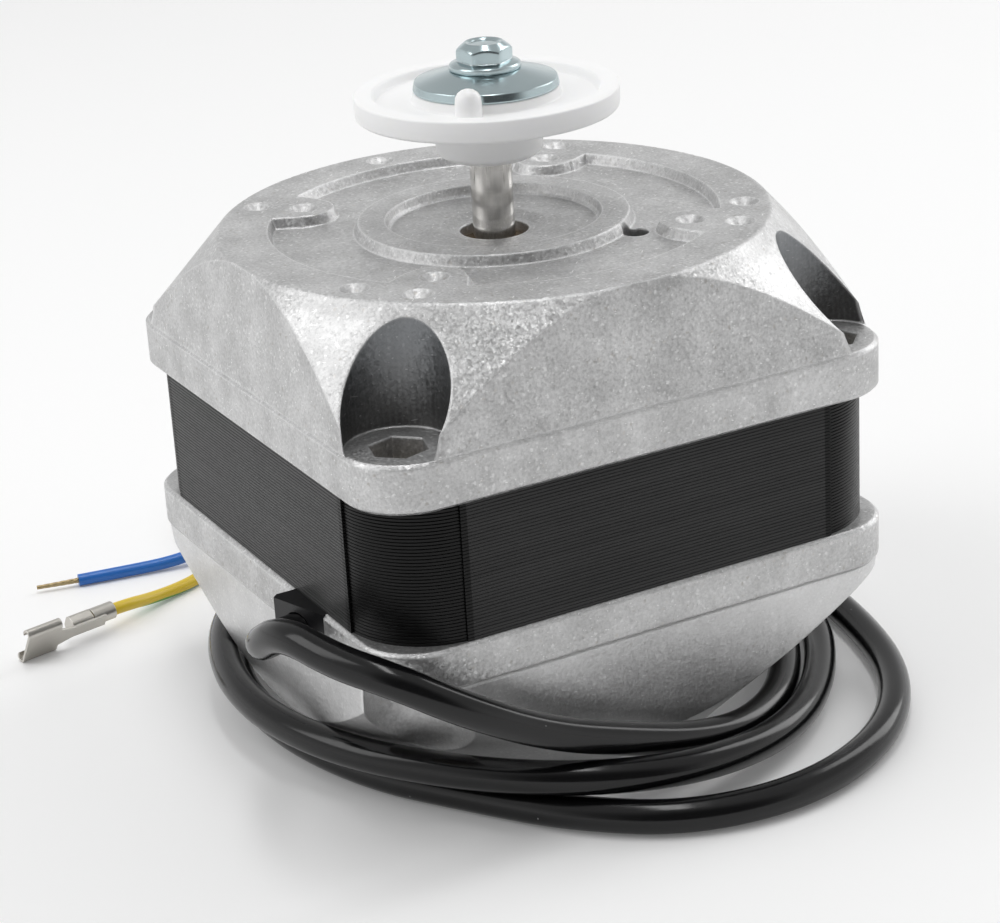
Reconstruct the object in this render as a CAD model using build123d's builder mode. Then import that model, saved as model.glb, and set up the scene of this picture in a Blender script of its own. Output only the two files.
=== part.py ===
from build123d import *
import math
import os

os.makedirs("parts", exist_ok=True)

# Overall sizes of the housing, in millimetres
lower_height = 30.4
stack_height = 20.6
upper_height = 24.7
shield_side = 86.5
shield_corner = 9.3
lower_rim_height = 6.5
upper_rim_height = 7.2
rim_edge = 0.5
flat_inset = 0.25
flat_lean = 6.0
disc_inset = 2.05
disc_edge = 0.6
upper_cone_slope = 0.89
foot_inset = 8.65
lower_cone_slope = 1.0
foot_edge = 1.5

stack_bottom = lower_height
stack_top = stack_bottom + stack_height
top_level = stack_top + upper_height
mid_level = stack_bottom + stack_height / 2
lower_rim_level = lower_height - lower_rim_height
upper_rim_level = stack_top + upper_rim_height
half_side = shield_side / 2
flat_side = shield_side - 2 * flat_inset
disc_radius = half_side - disc_inset
foot_radius = half_side - foot_inset

# Walls, corner posts and bearing bosses of the two end shields
wall = 3.0
rim_wall = 3.25
cavity_corner = 6.0
cavity_floor = 5.5
ceiling_thickness = 4.2
post_inset = 7.75
post_radius = 10.2
pocket_radius = 7.6
boss_radius = 13.0

cavity_side = shield_side - 2 * rim_wall
cavity_ceiling = top_level - ceiling_thickness
post_offset = half_side - post_inset

# Shaft, bearings and the parts stacked on the shaft
shaft_radius = 3.15
running_clearance = 0.03
fit_clearance = 0.02
bearing_radius = 7.0
bearing_half_length = 4.2
bearing_seat_clearance = 0.05
lower_bearing_face = 5.4
upper_bearing_depth = 4.1
felt_outer = 10.4
felt_inner = 6.7
felt_thickness = 1.8
retainer_thickness = 0.5
retainer_inner = 4.7
retainer_notches = 8
retainer_notch_radius = 0.9
felt_seat_clearance = 0.1
boss_lip = 0.5
shaft_hole_radius = 5.2
shaft_end_pocket = 3.6
shaft_end_pocket_depth = 2.8
shaft_end_level = 3.6
end_float = 0.3
thrust_washer_radius = 4.2
thrust_washer_thickness = 0.9
spacer_radius = 4.0

upper_bearing_face = top_level - upper_bearing_depth

# Stator stack
stack_inset = 1.05
stack_corner = 12.7
stack_flat_inset = 0.7
stack_flat_end = 11.7
stack_yoke = 8.7
window_corner = 12.0
pole_length = 12.15
pole_width = 15.0
pole_overlap = 3.0
shoe_thickness = 3.25
shoe_half_angle = 37.3
pole_angles = (0, 90, 180, 270)
screw_clearance = 0.25
screw_radius = 2.0

stack_side = shield_side - 2 * stack_inset
stack_flat_side = shield_side - 2 * stack_flat_inset
stack_flat_length = stack_side - 2 * stack_flat_end
window_half = stack_side / 2 - stack_yoke
stack_bore = window_half - pole_length
shoe_outer = stack_bore + shoe_thickness

# Shading rings in the pole shoes
shading_cover = 1.05
shading_thickness = 1.6
shading_cut = 3.0
shading_start = 14.5
shading_leg_angle = 4.0
shading_overhang = 1.4
shading_gap = 0.1
shading_gap_angle = 0.2

shading_inner = stack_bore + shading_cover
shading_outer = shading_inner + shading_thickness

# Coils and bobbins
bobbin_shoe_gap = 0.6
bobbin_yoke_gap = 0.3
bobbin_wall = 1.0
bobbin_gap = 0.1
flange_thickness = 0.9
flange_width = 26.0
flange_height = 33.0
flange_corner = 2.0
coil_margin = 0.4
coil_corner = 4.5

bobbin_start = shoe_outer + bobbin_shoe_gap
bobbin_end = window_half - bobbin_yoke_gap

# Rotor
air_gap = 0.35
cage_bars = 18
bar_radius = 1.3
bar_depth = 2.4
end_ring_height = 3.5
end_ring_inset = 0.4
end_ring_width = 5.0

rotor_radius = stack_bore - air_gap
bar_circle = rotor_radius - bar_depth
end_ring_outer = rotor_radius - end_ring_inset
end_ring_inner = end_ring_outer - end_ring_width

# Top face of the upper shield
recess_depth = 1.6
recess_radius = 15.8
recess_edge = 0.4
ring_radius = 21.0
channel_inset = 8.2
channel_depth = 1.55
channel_lean = 25.0
pad_inset = 3.0
pad_radius = 5.2
pad_neck = 1.75
pad_foot_half = 6.9
pad_foot_reach = 1.6
pad_angles = (45, 135, 225, 315)
dimple_radius = 2.2
dimple_depth = 1.0
dimple_lean = 50.0
dimple_inset = 3.8
extra_dimple_angles = (90, 210, 330)
vent_hole_radius = 2.0
vent_hole_offset = 1.3
vent_hole_angle = -50.7
lip_radius = 8.0
lip_depth = 0.8
lip_foot = 6.0

dimple_foot = dimple_radius - dimple_depth * math.tan(math.radians(dimple_lean))
channel_radius = disc_radius - channel_inset
pad_offset = channel_radius - pad_inset
dimple_offset = disc_radius - dimple_inset
vent_hole_place = ring_radius + vent_hole_offset

# Bottom face of the lower shield
mount_hole_radius = 1.65
mount_hole_depth = 9.0
mount_inset = 4.6
mount_boss_radius = 4.5
mount_boss_cover = 2.5
bottom_recess = 0.8

mount_offset = foot_radius - mount_inset

# Fasteners through the corners
nut_across_flats = 7.0
nut_socket_gap = 0.25
nut_socket_depth = 5.4
nut_thickness = 2.2
hex_chamfer_angle = 30.0
hex_face_share = 0.95
thread_clearance = 0.05
screw_head_radius = 3.8
screw_head_height = 2.7
screw_head_edge = 0.9
screw_tip_reach = 0.6
hex_head_height = 2.8
corner_screw_reach = 8.5
blind_extra = 0.5
socket_radius = 1.3
socket_depth = 1.4
socket_floor = upper_rim_level - nut_socket_depth
near_corners = ((-1, -1), (1, 1))
side_corners = ((-1, 1), (1, -1))

# Fan hub, washer and screw
shaft_reach = 8.5
shoulder_depth = 1.0
collar_foot = 5.9
collar_corner = 6.5
collar_corner_rise = 0.6
collar_waist = 8.0
collar_waist_rise = 1.9
collar_top = 9.0
collar_top_rise = 6.3
disc_underside_rise = 7.2
disc_underside_radius = 11.4
hub_disc_radius = 19.56
hub_disc_rise = 7.5
hub_disc_top_rise = 10.7
hub_edge = 0.6
hub_ring_inner = 16.0
hub_recess_rise = 9.3
hub_boss_radius = 11.0
hub_boss_rise = 11.2
peg_radius = 1.95
peg_circle = 13.0
peg_angle = -130
peg_rise = 13.8
drive_radius = 2.9
drive_flat = 2.2
drive_gap = 0.4
tapped_depth = 9.5
washer_radius = 10.47
washer_hole = 2.2
washer_thickness = 1.0
washer_dish = 1.4
bolt_flange_radius = 5.1
bolt_flange_height = 1.2
bolt_hex_height = 2.8
bolt_chamfer = 0.45
bolt_face_angle = -116
bolt_length = 9.0

hub_bottom = top_level + shaft_reach
hub_boss_top = hub_bottom + hub_boss_rise
bolt_seat = hub_boss_top + washer_thickness + washer_dish
shaft_top = hub_boss_top - drive_gap

# Cord, cores and terminal
cord_radius = 2.5
core_radius = 1.05
conductor_radius = 0.5
grommet_width = 10.6
grommet_depth = 7.4
grommet_y = -17.6
grommet_drop = 3.7
grommet_proud = 3.2
grommet_neck = 1.0
grommet_flange = 1.6
grommet_flange_extra = 0.55
grommet_gap = 0.05
grommet_bevel = 0.8
bend_share = 0.45
barrel_start = (-48.66, 52.47)
terminal_heading = -168.0
terminal_lean = 30.0
terminal_metal = 0.4
barrel_length = 4.2
barrel_gap = 0.05
crimp_start = 4.4
crimp_length = 4.0
crimp_width = 2.9
strip_width = 2.4
neck_width = 3.2
neck_end = 10.0
receptacle_start = 11.2
receptacle_end = 17.6
curl_radius = 0.9
curl_offset = 2.83
curl_opening = 1.1

grommet_z = stack_bottom - grommet_drop
barrel_axis = core_radius + barrel_gap + terminal_metal
crimp_rise = barrel_axis - terminal_metal / 2
terminal_level = (curl_offset * math.cos(math.radians(terminal_lean))
                  + curl_radius * (1 - math.sin(math.radians(terminal_lean))))
barrel_level = terminal_level + barrel_axis * math.sin(math.radians(terminal_lean))

cord_points = [
    (-36.5, grommet_y, grommet_z), (-52.3, grommet_y, grommet_z), (-52.2, -28.8, 28.4),
    (-48.8, -38.2, 29.5), (-43.6, -46.0, 28.6), (-35.2, -49.6, 24.4), (-22.4, -48.8, 16.6),
    (-9.2, -47.8, 10.4), (3.6, -46.4, 6.2), (16.2, -42.4, 3.4), (28.6, -33.4, 2.6),
    (40.6, -15.0, 2.55), (42.6, 7.4, 2.5), (33.2, 28.0, 2.5), (14.9, 41.4, 3.0),
    (-7.6, 44.8, 5.6), (-28.4, 39.4, 8.0), (-42.6, 24.4, 8.0), (-48.6, 1.6, 8.0),
    (-44.4, -20.4, 8.0), (-32.2, -38.6, 8.0), (-17.0, -51.4, 7.9), (1.5, -55.0, 6.4),
    (20.0, -48.4, 4.0), (35.4, -33.6, 2.6), (46.6, -15.6, 2.5), (48.9, 8.0, 2.55),
    (37.9, 31.8, 2.5), (17.4, 46.8, 2.55), (-8.6, 50.2, 2.5), (-29.4, 41.4, 2.5),
    (-41.2, 20.6, 2.55), (-43.0, -1.4, 2.5), (-38.4, -22.6, 2.55), (-30.0, -38.2, 2.5),
    (-21.0, -50.8, 2.55), (-6.0, -60.6, 2.5), (13.4, -62.4, 2.55), (32.0, -55.0, 2.5),
    (45.4, -40.6, 2.55), (52.2, -21.4, 2.5), (54.4, -0.6, 2.55), (51.4, 20.6, 2.5),
    (41.8, 39.4, 2.55), (26.0, 54.0, 2.5), (6.4, 63.8, 2.55), (-13.6, 67.4, 2.5),
]
blue_points = [
    (-13.6, 67.4, 3.7), (-18.5, 68.28, 3.69), (-24.0, 69.1, 2.5), (-30.5, 69.8, 1.3),
    (-38.4, 71.2, 1.1), (-47.2, 72.7, 1.1),
]
blue_end_points = [(-47.2, 72.7, 1.1), (-50.75, 73.3, 1.1), (-54.3, 74.3, 1.0)]
earth_points = [
    (-13.8, 66.3, 1.85), (-19.7, 67.36, 1.83), (-26.2, 62.8, 1.2), (-32.4, 59.5, 1.1),
    (-39.4, 57.2, 1.5), (-46.3, 52.97, barrel_level),
    (barrel_start[0] + crimp_start * math.cos(math.radians(terminal_heading)),
     barrel_start[1] + crimp_start * math.sin(math.radians(terminal_heading)), barrel_level),
]
brown_points = [
    (-13.4, 68.5, 1.85), (-20.05, 69.7, 1.83), (-23.6, 76.3, 1.3), (-21.4, 84.2, 1.1),
    (-17.0, 91.4, 1.1), (-14.0, 98.8, 1.1),
]
brown_end_points = [(-14.0, 98.8, 1.1), (-12.69, 102.04, 1.1), (-11.2, 105.2, 1.0)]


def bend_radii(points):
    """Radius of each bend, as large as the shorter run beside it allows."""
    radii = []
    for before, corner, after in zip(points, points[1:], points[2:]):
        first = Vector(*corner) - Vector(*before)
        second = Vector(*after) - Vector(*corner)
        turn = math.radians(first.get_angle(second))
        radii.append(bend_share * min(first.length, second.length) / math.tan(turn / 2))
    return radii


def around(radius, angle, level=0.0):
    """A point on a circle about the shaft axis."""
    return (radius * math.cos(math.radians(angle)), radius * math.sin(math.radians(angle)), level)


def corners(signs):
    """Corner positions of the clamping screws."""
    return [(x * post_offset, y * post_offset) for x, y in signs]


def hexagon_head(height):
    """Hexagon with a chamfered upper side, standing on the XY plane."""
    face_radius = hex_face_share * nut_across_flats / 2
    corner_radius = nut_across_flats
    drop = (corner_radius - face_radius) * math.tan(math.radians(hex_chamfer_angle))
    with BuildPart() as head:
        with BuildSketch():
            RegularPolygon(nut_across_flats / 2, 6, major_radius=False, rotation=30)
        extrude(amount=height)
        with BuildSketch(Plane.XZ):
            with BuildLine():
                Polyline(
                    (0, height),
                    (face_radius, height),
                    (corner_radius, height - drop),
                    (corner_radius, -drop),
                    (0, -drop),
                    close=True,
                )
            make_face()
        revolve(axis=Axis.Z, mode=Mode.INTERSECT)
    return head.part


# Outside shape of the upper shield above its rim
with BuildPart() as upper_dome:
    with BuildSketch(Plane.XY.offset(upper_rim_level)):
        RectangleRounded(flat_side, flat_side, shield_corner)
    extrude(amount=top_level - upper_rim_level, taper=flat_lean)
    with BuildSketch(Plane.XZ) as disc_profile:
        with BuildLine():
            Polyline(
                (0, upper_rim_level),
                (disc_radius + upper_cone_slope * (top_level - upper_rim_level), upper_rim_level),
                (disc_radius, top_level),
                (0, top_level),
                close=True,
            )
        make_face()
        fillet(disc_profile.vertices().group_by(Axis.Y)[-1].sort_by(Axis.X)[-1], disc_edge)
    revolve(axis=Axis.Z, mode=Mode.INTERSECT)

# Outside shape of the lower shield below its rim
with BuildPart() as lower_dome:
    with BuildSketch(Plane(origin=(0, 0, lower_rim_level), z_dir=(0, 0, -1))):
        RectangleRounded(flat_side, flat_side, shield_corner)
    extrude(amount=lower_rim_level, taper=flat_lean)
    with BuildSketch(Plane.XZ) as foot_profile:
        with BuildLine():
            Polyline(
                (0, 0),
                (foot_radius, 0),
                (foot_radius + lower_cone_slope * lower_rim_level, lower_rim_level),
                (0, lower_rim_level),
                close=True,
            )
        make_face()
        fillet(foot_profile.vertices().group_by(Axis.Y)[0].sort_by(Axis.X)[-1], foot_edge)
    revolve(axis=Axis.Z, mode=Mode.INTERSECT)

# Hollow of the upper shield, left solid at the posts and the bearing boss
upper_wall_shift = wall * math.hypot(1, upper_cone_slope)
with BuildPart() as upper_cavity:
    with BuildSketch(Plane.XY.offset(stack_top)):
        RectangleRounded(cavity_side, cavity_side, cavity_corner)
    extrude(amount=cavity_ceiling - stack_top, taper=flat_lean)
    with BuildSketch(Plane.XZ):
        with BuildLine():
            Polyline(
                (0, stack_top),
                (disc_radius + upper_cone_slope * upper_height - upper_wall_shift, stack_top),
                (disc_radius + upper_cone_slope * (top_level - cavity_ceiling) - upper_wall_shift,
                 cavity_ceiling),
                (0, cavity_ceiling),
                close=True,
            )
        make_face()
    revolve(axis=Axis.Z, mode=Mode.INTERSECT)
    with BuildSketch(Plane.XY.offset(stack_top)):
        with Locations(*corners(near_corners + side_corners)):
            Circle(post_radius)
    extrude(amount=upper_height, mode=Mode.SUBTRACT)
    upper_boss_level = (upper_bearing_face - 2 * bearing_half_length - retainer_thickness - boss_lip)
    with BuildSketch(Plane.XY.offset(upper_boss_level)):
        Circle(boss_radius)
    extrude(amount=upper_height, mode=Mode.SUBTRACT)

# Hollow of the lower shield, left solid at the posts, the boss and the mounting bosses
lower_wall_shift = wall * math.hypot(1, lower_cone_slope)
lower_boss_level = lower_bearing_face + 2 * bearing_half_length + retainer_thickness + boss_lip
with BuildPart() as lower_cavity:
    with BuildSketch(Plane(origin=(0, 0, stack_bottom), z_dir=(0, 0, -1))):
        RectangleRounded(cavity_side, cavity_side, cavity_corner)
    extrude(amount=stack_bottom - cavity_floor, taper=flat_lean)
    with BuildSketch(Plane.XZ):
        with BuildLine():
            Polyline(
                (0, cavity_floor),
                (foot_radius + lower_cone_slope * cavity_floor - lower_wall_shift, cavity_floor),
                (foot_radius + lower_cone_slope * stack_bottom - lower_wall_shift, stack_bottom),
                (0, stack_bottom),
                close=True,
            )
        make_face()
    revolve(axis=Axis.Z, mode=Mode.INTERSECT)
    with BuildSketch():
        with Locations(*corners(near_corners + side_corners)):
            Circle(post_radius)
    extrude(amount=stack_bottom, mode=Mode.SUBTRACT)
    with BuildSketch():
        Circle(boss_radius)
    extrude(amount=lower_boss_level, mode=Mode.SUBTRACT)
    with BuildSketch():
        with PolarLocations(mount_offset, len(pad_angles), pad_angles[0]):
            Circle(mount_boss_radius)
    extrude(amount=mount_hole_depth + mount_boss_cover, mode=Mode.SUBTRACT)

# Upper end shield
with BuildPart() as upper_end_shield:
    with BuildSketch(Plane.XY.offset(stack_top)):
        RectangleRounded(shield_side, shield_side, shield_corner)
    extrude(amount=upper_rim_height)
    chamfer(faces().sort_by(Axis.Z)[-1].edges() + faces().sort_by(Axis.Z)[0].edges(), rim_edge)
    add(upper_dome.part)
    with BuildSketch(Plane.XY.offset(upper_rim_level)):
        with Locations(*corners(near_corners + side_corners)):
            Circle(pocket_radius)
    extrude(amount=upper_height, mode=Mode.SUBTRACT)
    add(upper_cavity.part, mode=Mode.SUBTRACT)
    with BuildSketch(Plane.XY.offset(top_level - channel_depth)):
        Circle(channel_radius)
        Circle(ring_radius, mode=Mode.SUBTRACT)
        with PolarLocations(pad_offset, len(pad_angles), pad_angles[0]):
            Circle(pad_radius, mode=Mode.SUBTRACT)
            Polygon(
                (-pad_neck, pad_radius),
                (-pad_neck, -pad_radius),
                (pad_inset + pad_foot_reach, -pad_foot_half),
                (pad_inset + pad_foot_reach, pad_foot_half),
                align=None,
                mode=Mode.SUBTRACT,
            )
    extrude(amount=channel_depth, taper=-channel_lean, mode=Mode.SUBTRACT)
    with BuildSketch(Plane.XZ):
        with BuildLine():
            Polyline(
                (0, top_level),
                (recess_radius + recess_edge, top_level),
                (recess_radius, top_level - recess_depth + recess_edge),
                (recess_radius - recess_edge, top_level - recess_depth),
                (lip_radius, top_level - recess_depth),
                (lip_foot, top_level - recess_depth - lip_depth),
                (shaft_hole_radius, top_level - recess_depth - lip_depth),
                (shaft_hole_radius, upper_bearing_face),
                (bearing_radius + bearing_seat_clearance, upper_bearing_face),
                (bearing_radius + bearing_seat_clearance,
                 upper_bearing_face - 2 * bearing_half_length + felt_thickness),
                (felt_outer + felt_seat_clearance,
                 upper_bearing_face - 2 * bearing_half_length + felt_thickness),
                (felt_outer + felt_seat_clearance, stack_top),
                (0, stack_top),
                close=True,
            )
        make_face()
    revolve(axis=Axis.Z, mode=Mode.SUBTRACT)
    with BuildSketch(Plane.XY.offset(top_level - dimple_depth)):
        with PolarLocations(dimple_offset, len(pad_angles), pad_angles[0]):
            Circle(dimple_foot)
        with PolarLocations(pad_offset, len(pad_angles), pad_angles[0]):
            Circle(dimple_foot)
        with PolarLocations(dimple_offset, len(extra_dimple_angles), extra_dimple_angles[0]):
            Circle(dimple_foot)
    extrude(amount=dimple_depth, taper=-dimple_lean, mode=Mode.SUBTRACT)
    with Locations(around(vent_hole_place, vent_hole_angle, top_level)):
        Cylinder(vent_hole_radius, 2 * (top_level - cavity_ceiling), mode=Mode.SUBTRACT)
    with BuildSketch(Plane.XY.offset(stack_top)):
        with Locations(*corners(near_corners + side_corners)):
            Circle(screw_radius + screw_clearance)
    extrude(amount=upper_rim_height, mode=Mode.SUBTRACT)
    with BuildSketch(Plane.XY.offset(upper_rim_level - nut_socket_depth)):
        for x_sign, y_sign in near_corners + side_corners:
            facing = math.degrees(math.atan2(y_sign, x_sign))
            with Locations(Location((x_sign * post_offset, y_sign * post_offset), facing)):
                RegularPolygon(
                    nut_across_flats / 2 + nut_socket_gap, 6, major_radius=False, rotation=30)
    extrude(amount=nut_socket_depth, mode=Mode.SUBTRACT)

# Lower end shield
with BuildPart() as lower_end_shield:
    with BuildSketch(Plane.XY.offset(lower_rim_level)):
        RectangleRounded(shield_side, shield_side, shield_corner)
    extrude(amount=lower_rim_height)
    chamfer(faces().sort_by(Axis.Z)[-1].edges() + faces().sort_by(Axis.Z)[0].edges(), rim_edge)
    add(lower_dome.part)
    with BuildSketch():
        with Locations(*corners(near_corners)):
            Circle(pocket_radius)
    extrude(amount=lower_rim_level, mode=Mode.SUBTRACT)
    add(lower_cavity.part, mode=Mode.SUBTRACT)
    with BuildSketch(Plane.XZ):
        with BuildLine():
            Polyline(
                (0, lower_bearing_face - shaft_end_pocket_depth),
                (shaft_end_pocket, lower_bearing_face - shaft_end_pocket_depth),
                (shaft_end_pocket, lower_bearing_face),
                (bearing_radius + bearing_seat_clearance, lower_bearing_face),
                (bearing_radius + bearing_seat_clearance,
                 lower_bearing_face + 2 * bearing_half_length - felt_thickness),
                (felt_outer + felt_seat_clearance,
                 lower_bearing_face + 2 * bearing_half_length - felt_thickness),
                (felt_outer + felt_seat_clearance, stack_bottom),
                (0, stack_bottom),
                close=True,
            )
        make_face()
    revolve(axis=Axis.Z, mode=Mode.SUBTRACT)
    with BuildSketch():
        Circle(recess_radius)
    extrude(amount=bottom_recess, mode=Mode.SUBTRACT)
    with BuildSketch():
        with PolarLocations(mount_offset, len(pad_angles), pad_angles[0]):
            Circle(mount_hole_radius)
    extrude(amount=mount_hole_depth, mode=Mode.SUBTRACT)
    with BuildSketch(Plane.XY.offset(lower_rim_level)):
        with Locations(*corners(near_corners)):
            Circle(screw_radius + screw_clearance)
    extrude(amount=lower_rim_height, mode=Mode.SUBTRACT)
    with BuildSketch(Plane.XY.offset(stack_bottom - corner_screw_reach - blind_extra)):
        with Locations(*corners(side_corners)):
            Circle(screw_radius + thread_clearance)
    extrude(amount=corner_screw_reach + blind_extra, mode=Mode.SUBTRACT)
    with BuildSketch(Plane.XY.offset(stack_bottom - grommet_depth)):
        with Locations((-half_side, grommet_y)):
            Rectangle(2 * (half_side - cavity_side / 2 + 2 * wall), grommet_width)
    extrude(amount=grommet_depth, mode=Mode.SUBTRACT)

# Stack of laminations with four poles
with BuildPart() as stator_stack:
    with BuildSketch(Plane.XY.offset(stack_bottom)):
        RectangleRounded(stack_side, stack_side, stack_corner)
        Rectangle(stack_flat_length, stack_flat_side)
        Rectangle(stack_flat_side, stack_flat_length)
        RectangleRounded(2 * window_half, 2 * window_half, window_corner, mode=Mode.SUBTRACT)
        with PolarLocations((stack_bore + window_half) / 2, len(pole_angles)):
            Rectangle(pole_length + pole_overlap, pole_width)
        for angle in pole_angles:
            with BuildLine():
                first = CenterArc((0, 0), stack_bore, angle - shoe_half_angle, 2 * shoe_half_angle)
                second = CenterArc((0, 0), shoe_outer, angle - shoe_half_angle, 2 * shoe_half_angle)
                Line(first @ 0, second @ 0)
                Line(first @ 1, second @ 1)
            make_face()
        Circle(stack_bore, mode=Mode.SUBTRACT)
        for angle in pole_angles:
            slot_start = angle + shading_start - shading_gap_angle
            slot_width = shading_leg_angle + 2 * shading_gap_angle
            with BuildLine():
                first = CenterArc((0, 0), stack_bore - shading_cut, slot_start, slot_width)
                second = CenterArc((0, 0), shading_outer + shading_gap, slot_start, slot_width)
                Line(first @ 0, second @ 0)
                Line(first @ 1, second @ 1)
            make_face(mode=Mode.SUBTRACT)
        with Locations(*corners(near_corners + side_corners)):
            Circle(screw_radius + screw_clearance, mode=Mode.SUBTRACT)
    extrude(amount=stack_height)

# One shading ring in each pole shoe
shading_span = shoe_half_angle + shading_gap_angle - shading_start + shading_leg_angle
with BuildPart() as shading_rings:
    for angle in pole_angles:
        ring_start = angle + shading_start
        with BuildSketch(Plane.XY.offset(stack_bottom - shading_overhang)):
            with BuildLine():
                first = CenterArc((0, 0), shading_inner, ring_start, shading_span)
                second = CenterArc((0, 0), shading_outer, ring_start, shading_span)
                Line(first @ 0, second @ 0)
                Line(first @ 1, second @ 1)
            make_face()
        extrude(amount=stack_height + 2 * shading_overhang)
    for angle in pole_angles:
        gap_start = angle + shading_start + shading_leg_angle
        gap_span = shading_span - 2 * shading_leg_angle
        with BuildSketch(Plane.XY.offset(stack_bottom)):
            with BuildLine():
                first = CenterArc((0, 0), shading_inner - shading_cut, gap_start, gap_span)
                second = CenterArc((0, 0), shading_outer + shading_cut, gap_start, gap_span)
                Line(first @ 0, second @ 0)
                Line(first @ 1, second @ 1)
            make_face()
        extrude(amount=stack_height, mode=Mode.SUBTRACT)
shading_rings.part.label = "shading_rings"
export_step(shading_rings.part, "parts/shading_rings.step")

# Bobbin and coil on each pole
opening_width = pole_width + 2 * bobbin_gap
opening_height = stack_height + 2 * bobbin_gap
tube_width = opening_width + 2 * bobbin_wall
tube_height = opening_height + 2 * bobbin_wall
for number, angle in enumerate(pole_angles, start=1):
    facing = around(1, angle)
    sideways = around(1, angle + 90)
    inner_plane = Plane(origin=around(bobbin_start, angle, mid_level), x_dir=sideways, z_dir=facing)
    winding_plane = inner_plane.offset(flange_thickness)
    outer_plane = inner_plane.offset(bobbin_end - bobbin_start - flange_thickness)
    with BuildPart() as bobbin:
        with BuildSketch(inner_plane, outer_plane):
            RectangleRounded(flange_width, flange_height, flange_corner)
        extrude(amount=flange_thickness)
        with BuildSketch(inner_plane):
            RectangleRounded(tube_width, tube_height, bobbin_wall)
        extrude(amount=bobbin_end - bobbin_start)
        with BuildSketch(inner_plane):
            Rectangle(opening_width, opening_height)
        extrude(amount=bobbin_end - bobbin_start, mode=Mode.SUBTRACT)
    bobbin.part.label = f"bobbin_{number}"
    export_step(bobbin.part, f"parts/bobbin_{number}.step")
    with BuildPart() as coil:
        with BuildSketch(winding_plane):
            RectangleRounded(
                flange_width - 2 * coil_margin, flange_height - 2 * coil_margin, coil_corner)
            RectangleRounded(tube_width, tube_height, bobbin_wall, mode=Mode.SUBTRACT)
        extrude(amount=bobbin_end - bobbin_start - 2 * flange_thickness)
    coil.part.label = f"coil_{number}"
    export_step(coil.part, f"parts/coil_{number}.step")

# Bearings, felts and retainers, the same at both ends
for name, face_level, towards_stack in (
    ("lower", lower_bearing_face, 1),
    ("upper", upper_bearing_face, -1),
):
    inner_face = face_level + towards_stack * 2 * bearing_half_length
    centre = face_level + towards_stack * bearing_half_length
    with BuildPart() as bearing:
        with Locations((0, 0, centre)):
            Sphere(bearing_radius)
            Cylinder(bearing_radius, 2 * bearing_half_length, mode=Mode.INTERSECT)
            Cylinder(
                shaft_radius + running_clearance, 2 * bearing_radius, mode=Mode.SUBTRACT)
    bearing.part.label = f"{name}_bearing"
    export_step(bearing.part, f"parts/{name}_bearing.step")
    with BuildPart() as felt:
        with BuildSketch(Plane.XY.offset(inner_face)):
            Circle(felt_outer)
            Circle(felt_inner, mode=Mode.SUBTRACT)
        extrude(amount=-towards_stack * felt_thickness)
    felt.part.label = f"{name}_felt"
    export_step(felt.part, f"parts/{name}_felt.step")
    with BuildPart() as retainer:
        with BuildSketch(Plane.XY.offset(inner_face)):
            Circle(felt_outer)
            Circle(retainer_inner, mode=Mode.SUBTRACT)
            with PolarLocations(felt_outer, retainer_notches):
                Circle(retainer_notch_radius, mode=Mode.SUBTRACT)
        extrude(amount=towards_stack * retainer_thickness)
    retainer.part.label = f"{name}_bearing_retainer"
    export_step(retainer.part, f"parts/{name}_bearing_retainer.step")

# Thrust washers and spacers between the bearings and the rotor cage
lower_thrust_level = lower_bearing_face + 2 * bearing_half_length + end_float
upper_thrust_level = upper_bearing_face - 2 * bearing_half_length - end_float
for name, thrust_level, towards_stack, cage_end in (
    ("lower", lower_thrust_level, 1, stack_bottom - end_ring_height),
    ("upper", upper_thrust_level, -1, stack_top + end_ring_height),
):
    with BuildPart() as thrust_washer:
        with BuildSketch(Plane.XY.offset(thrust_level)):
            Circle(thrust_washer_radius)
            Circle(shaft_radius + fit_clearance, mode=Mode.SUBTRACT)
        extrude(amount=towards_stack * thrust_washer_thickness)
    thrust_washer.part.label = f"{name}_thrust_washer"
    export_step(thrust_washer.part, f"parts/{name}_thrust_washer.step")
    spacer_level = thrust_level + towards_stack * thrust_washer_thickness
    core_end = cage_end + towards_stack * end_ring_height
    with BuildPart() as spacer:
        with BuildSketch(Plane.XY.offset(spacer_level)):
            Circle(spacer_radius)
            Circle(shaft_radius + fit_clearance, mode=Mode.SUBTRACT)
        extrude(amount=core_end - spacer_level)
    spacer.part.label = f"{name}_spacer"
    export_step(spacer.part, f"parts/{name}_spacer.step")

# Rotor core with its cage of bars and end rings
with BuildPart() as rotor_core:
    with BuildSketch(Plane.XY.offset(stack_bottom)):
        Circle(rotor_radius)
        Circle(shaft_radius + fit_clearance, mode=Mode.SUBTRACT)
        with PolarLocations(bar_circle, cage_bars):
            Circle(bar_radius, mode=Mode.SUBTRACT)
    extrude(amount=stack_height)

with BuildPart() as rotor_cage:
    with BuildSketch(Plane.XY.offset(stack_bottom)):
        with PolarLocations(bar_circle, cage_bars):
            Circle(bar_radius - fit_clearance)
    extrude(amount=stack_height)
    with BuildSketch(Plane.XY.offset(stack_bottom - end_ring_height), Plane.XY.offset(stack_top)):
        Circle(end_ring_outer)
        Circle(end_ring_inner, mode=Mode.SUBTRACT)
    extrude(amount=end_ring_height)

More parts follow.
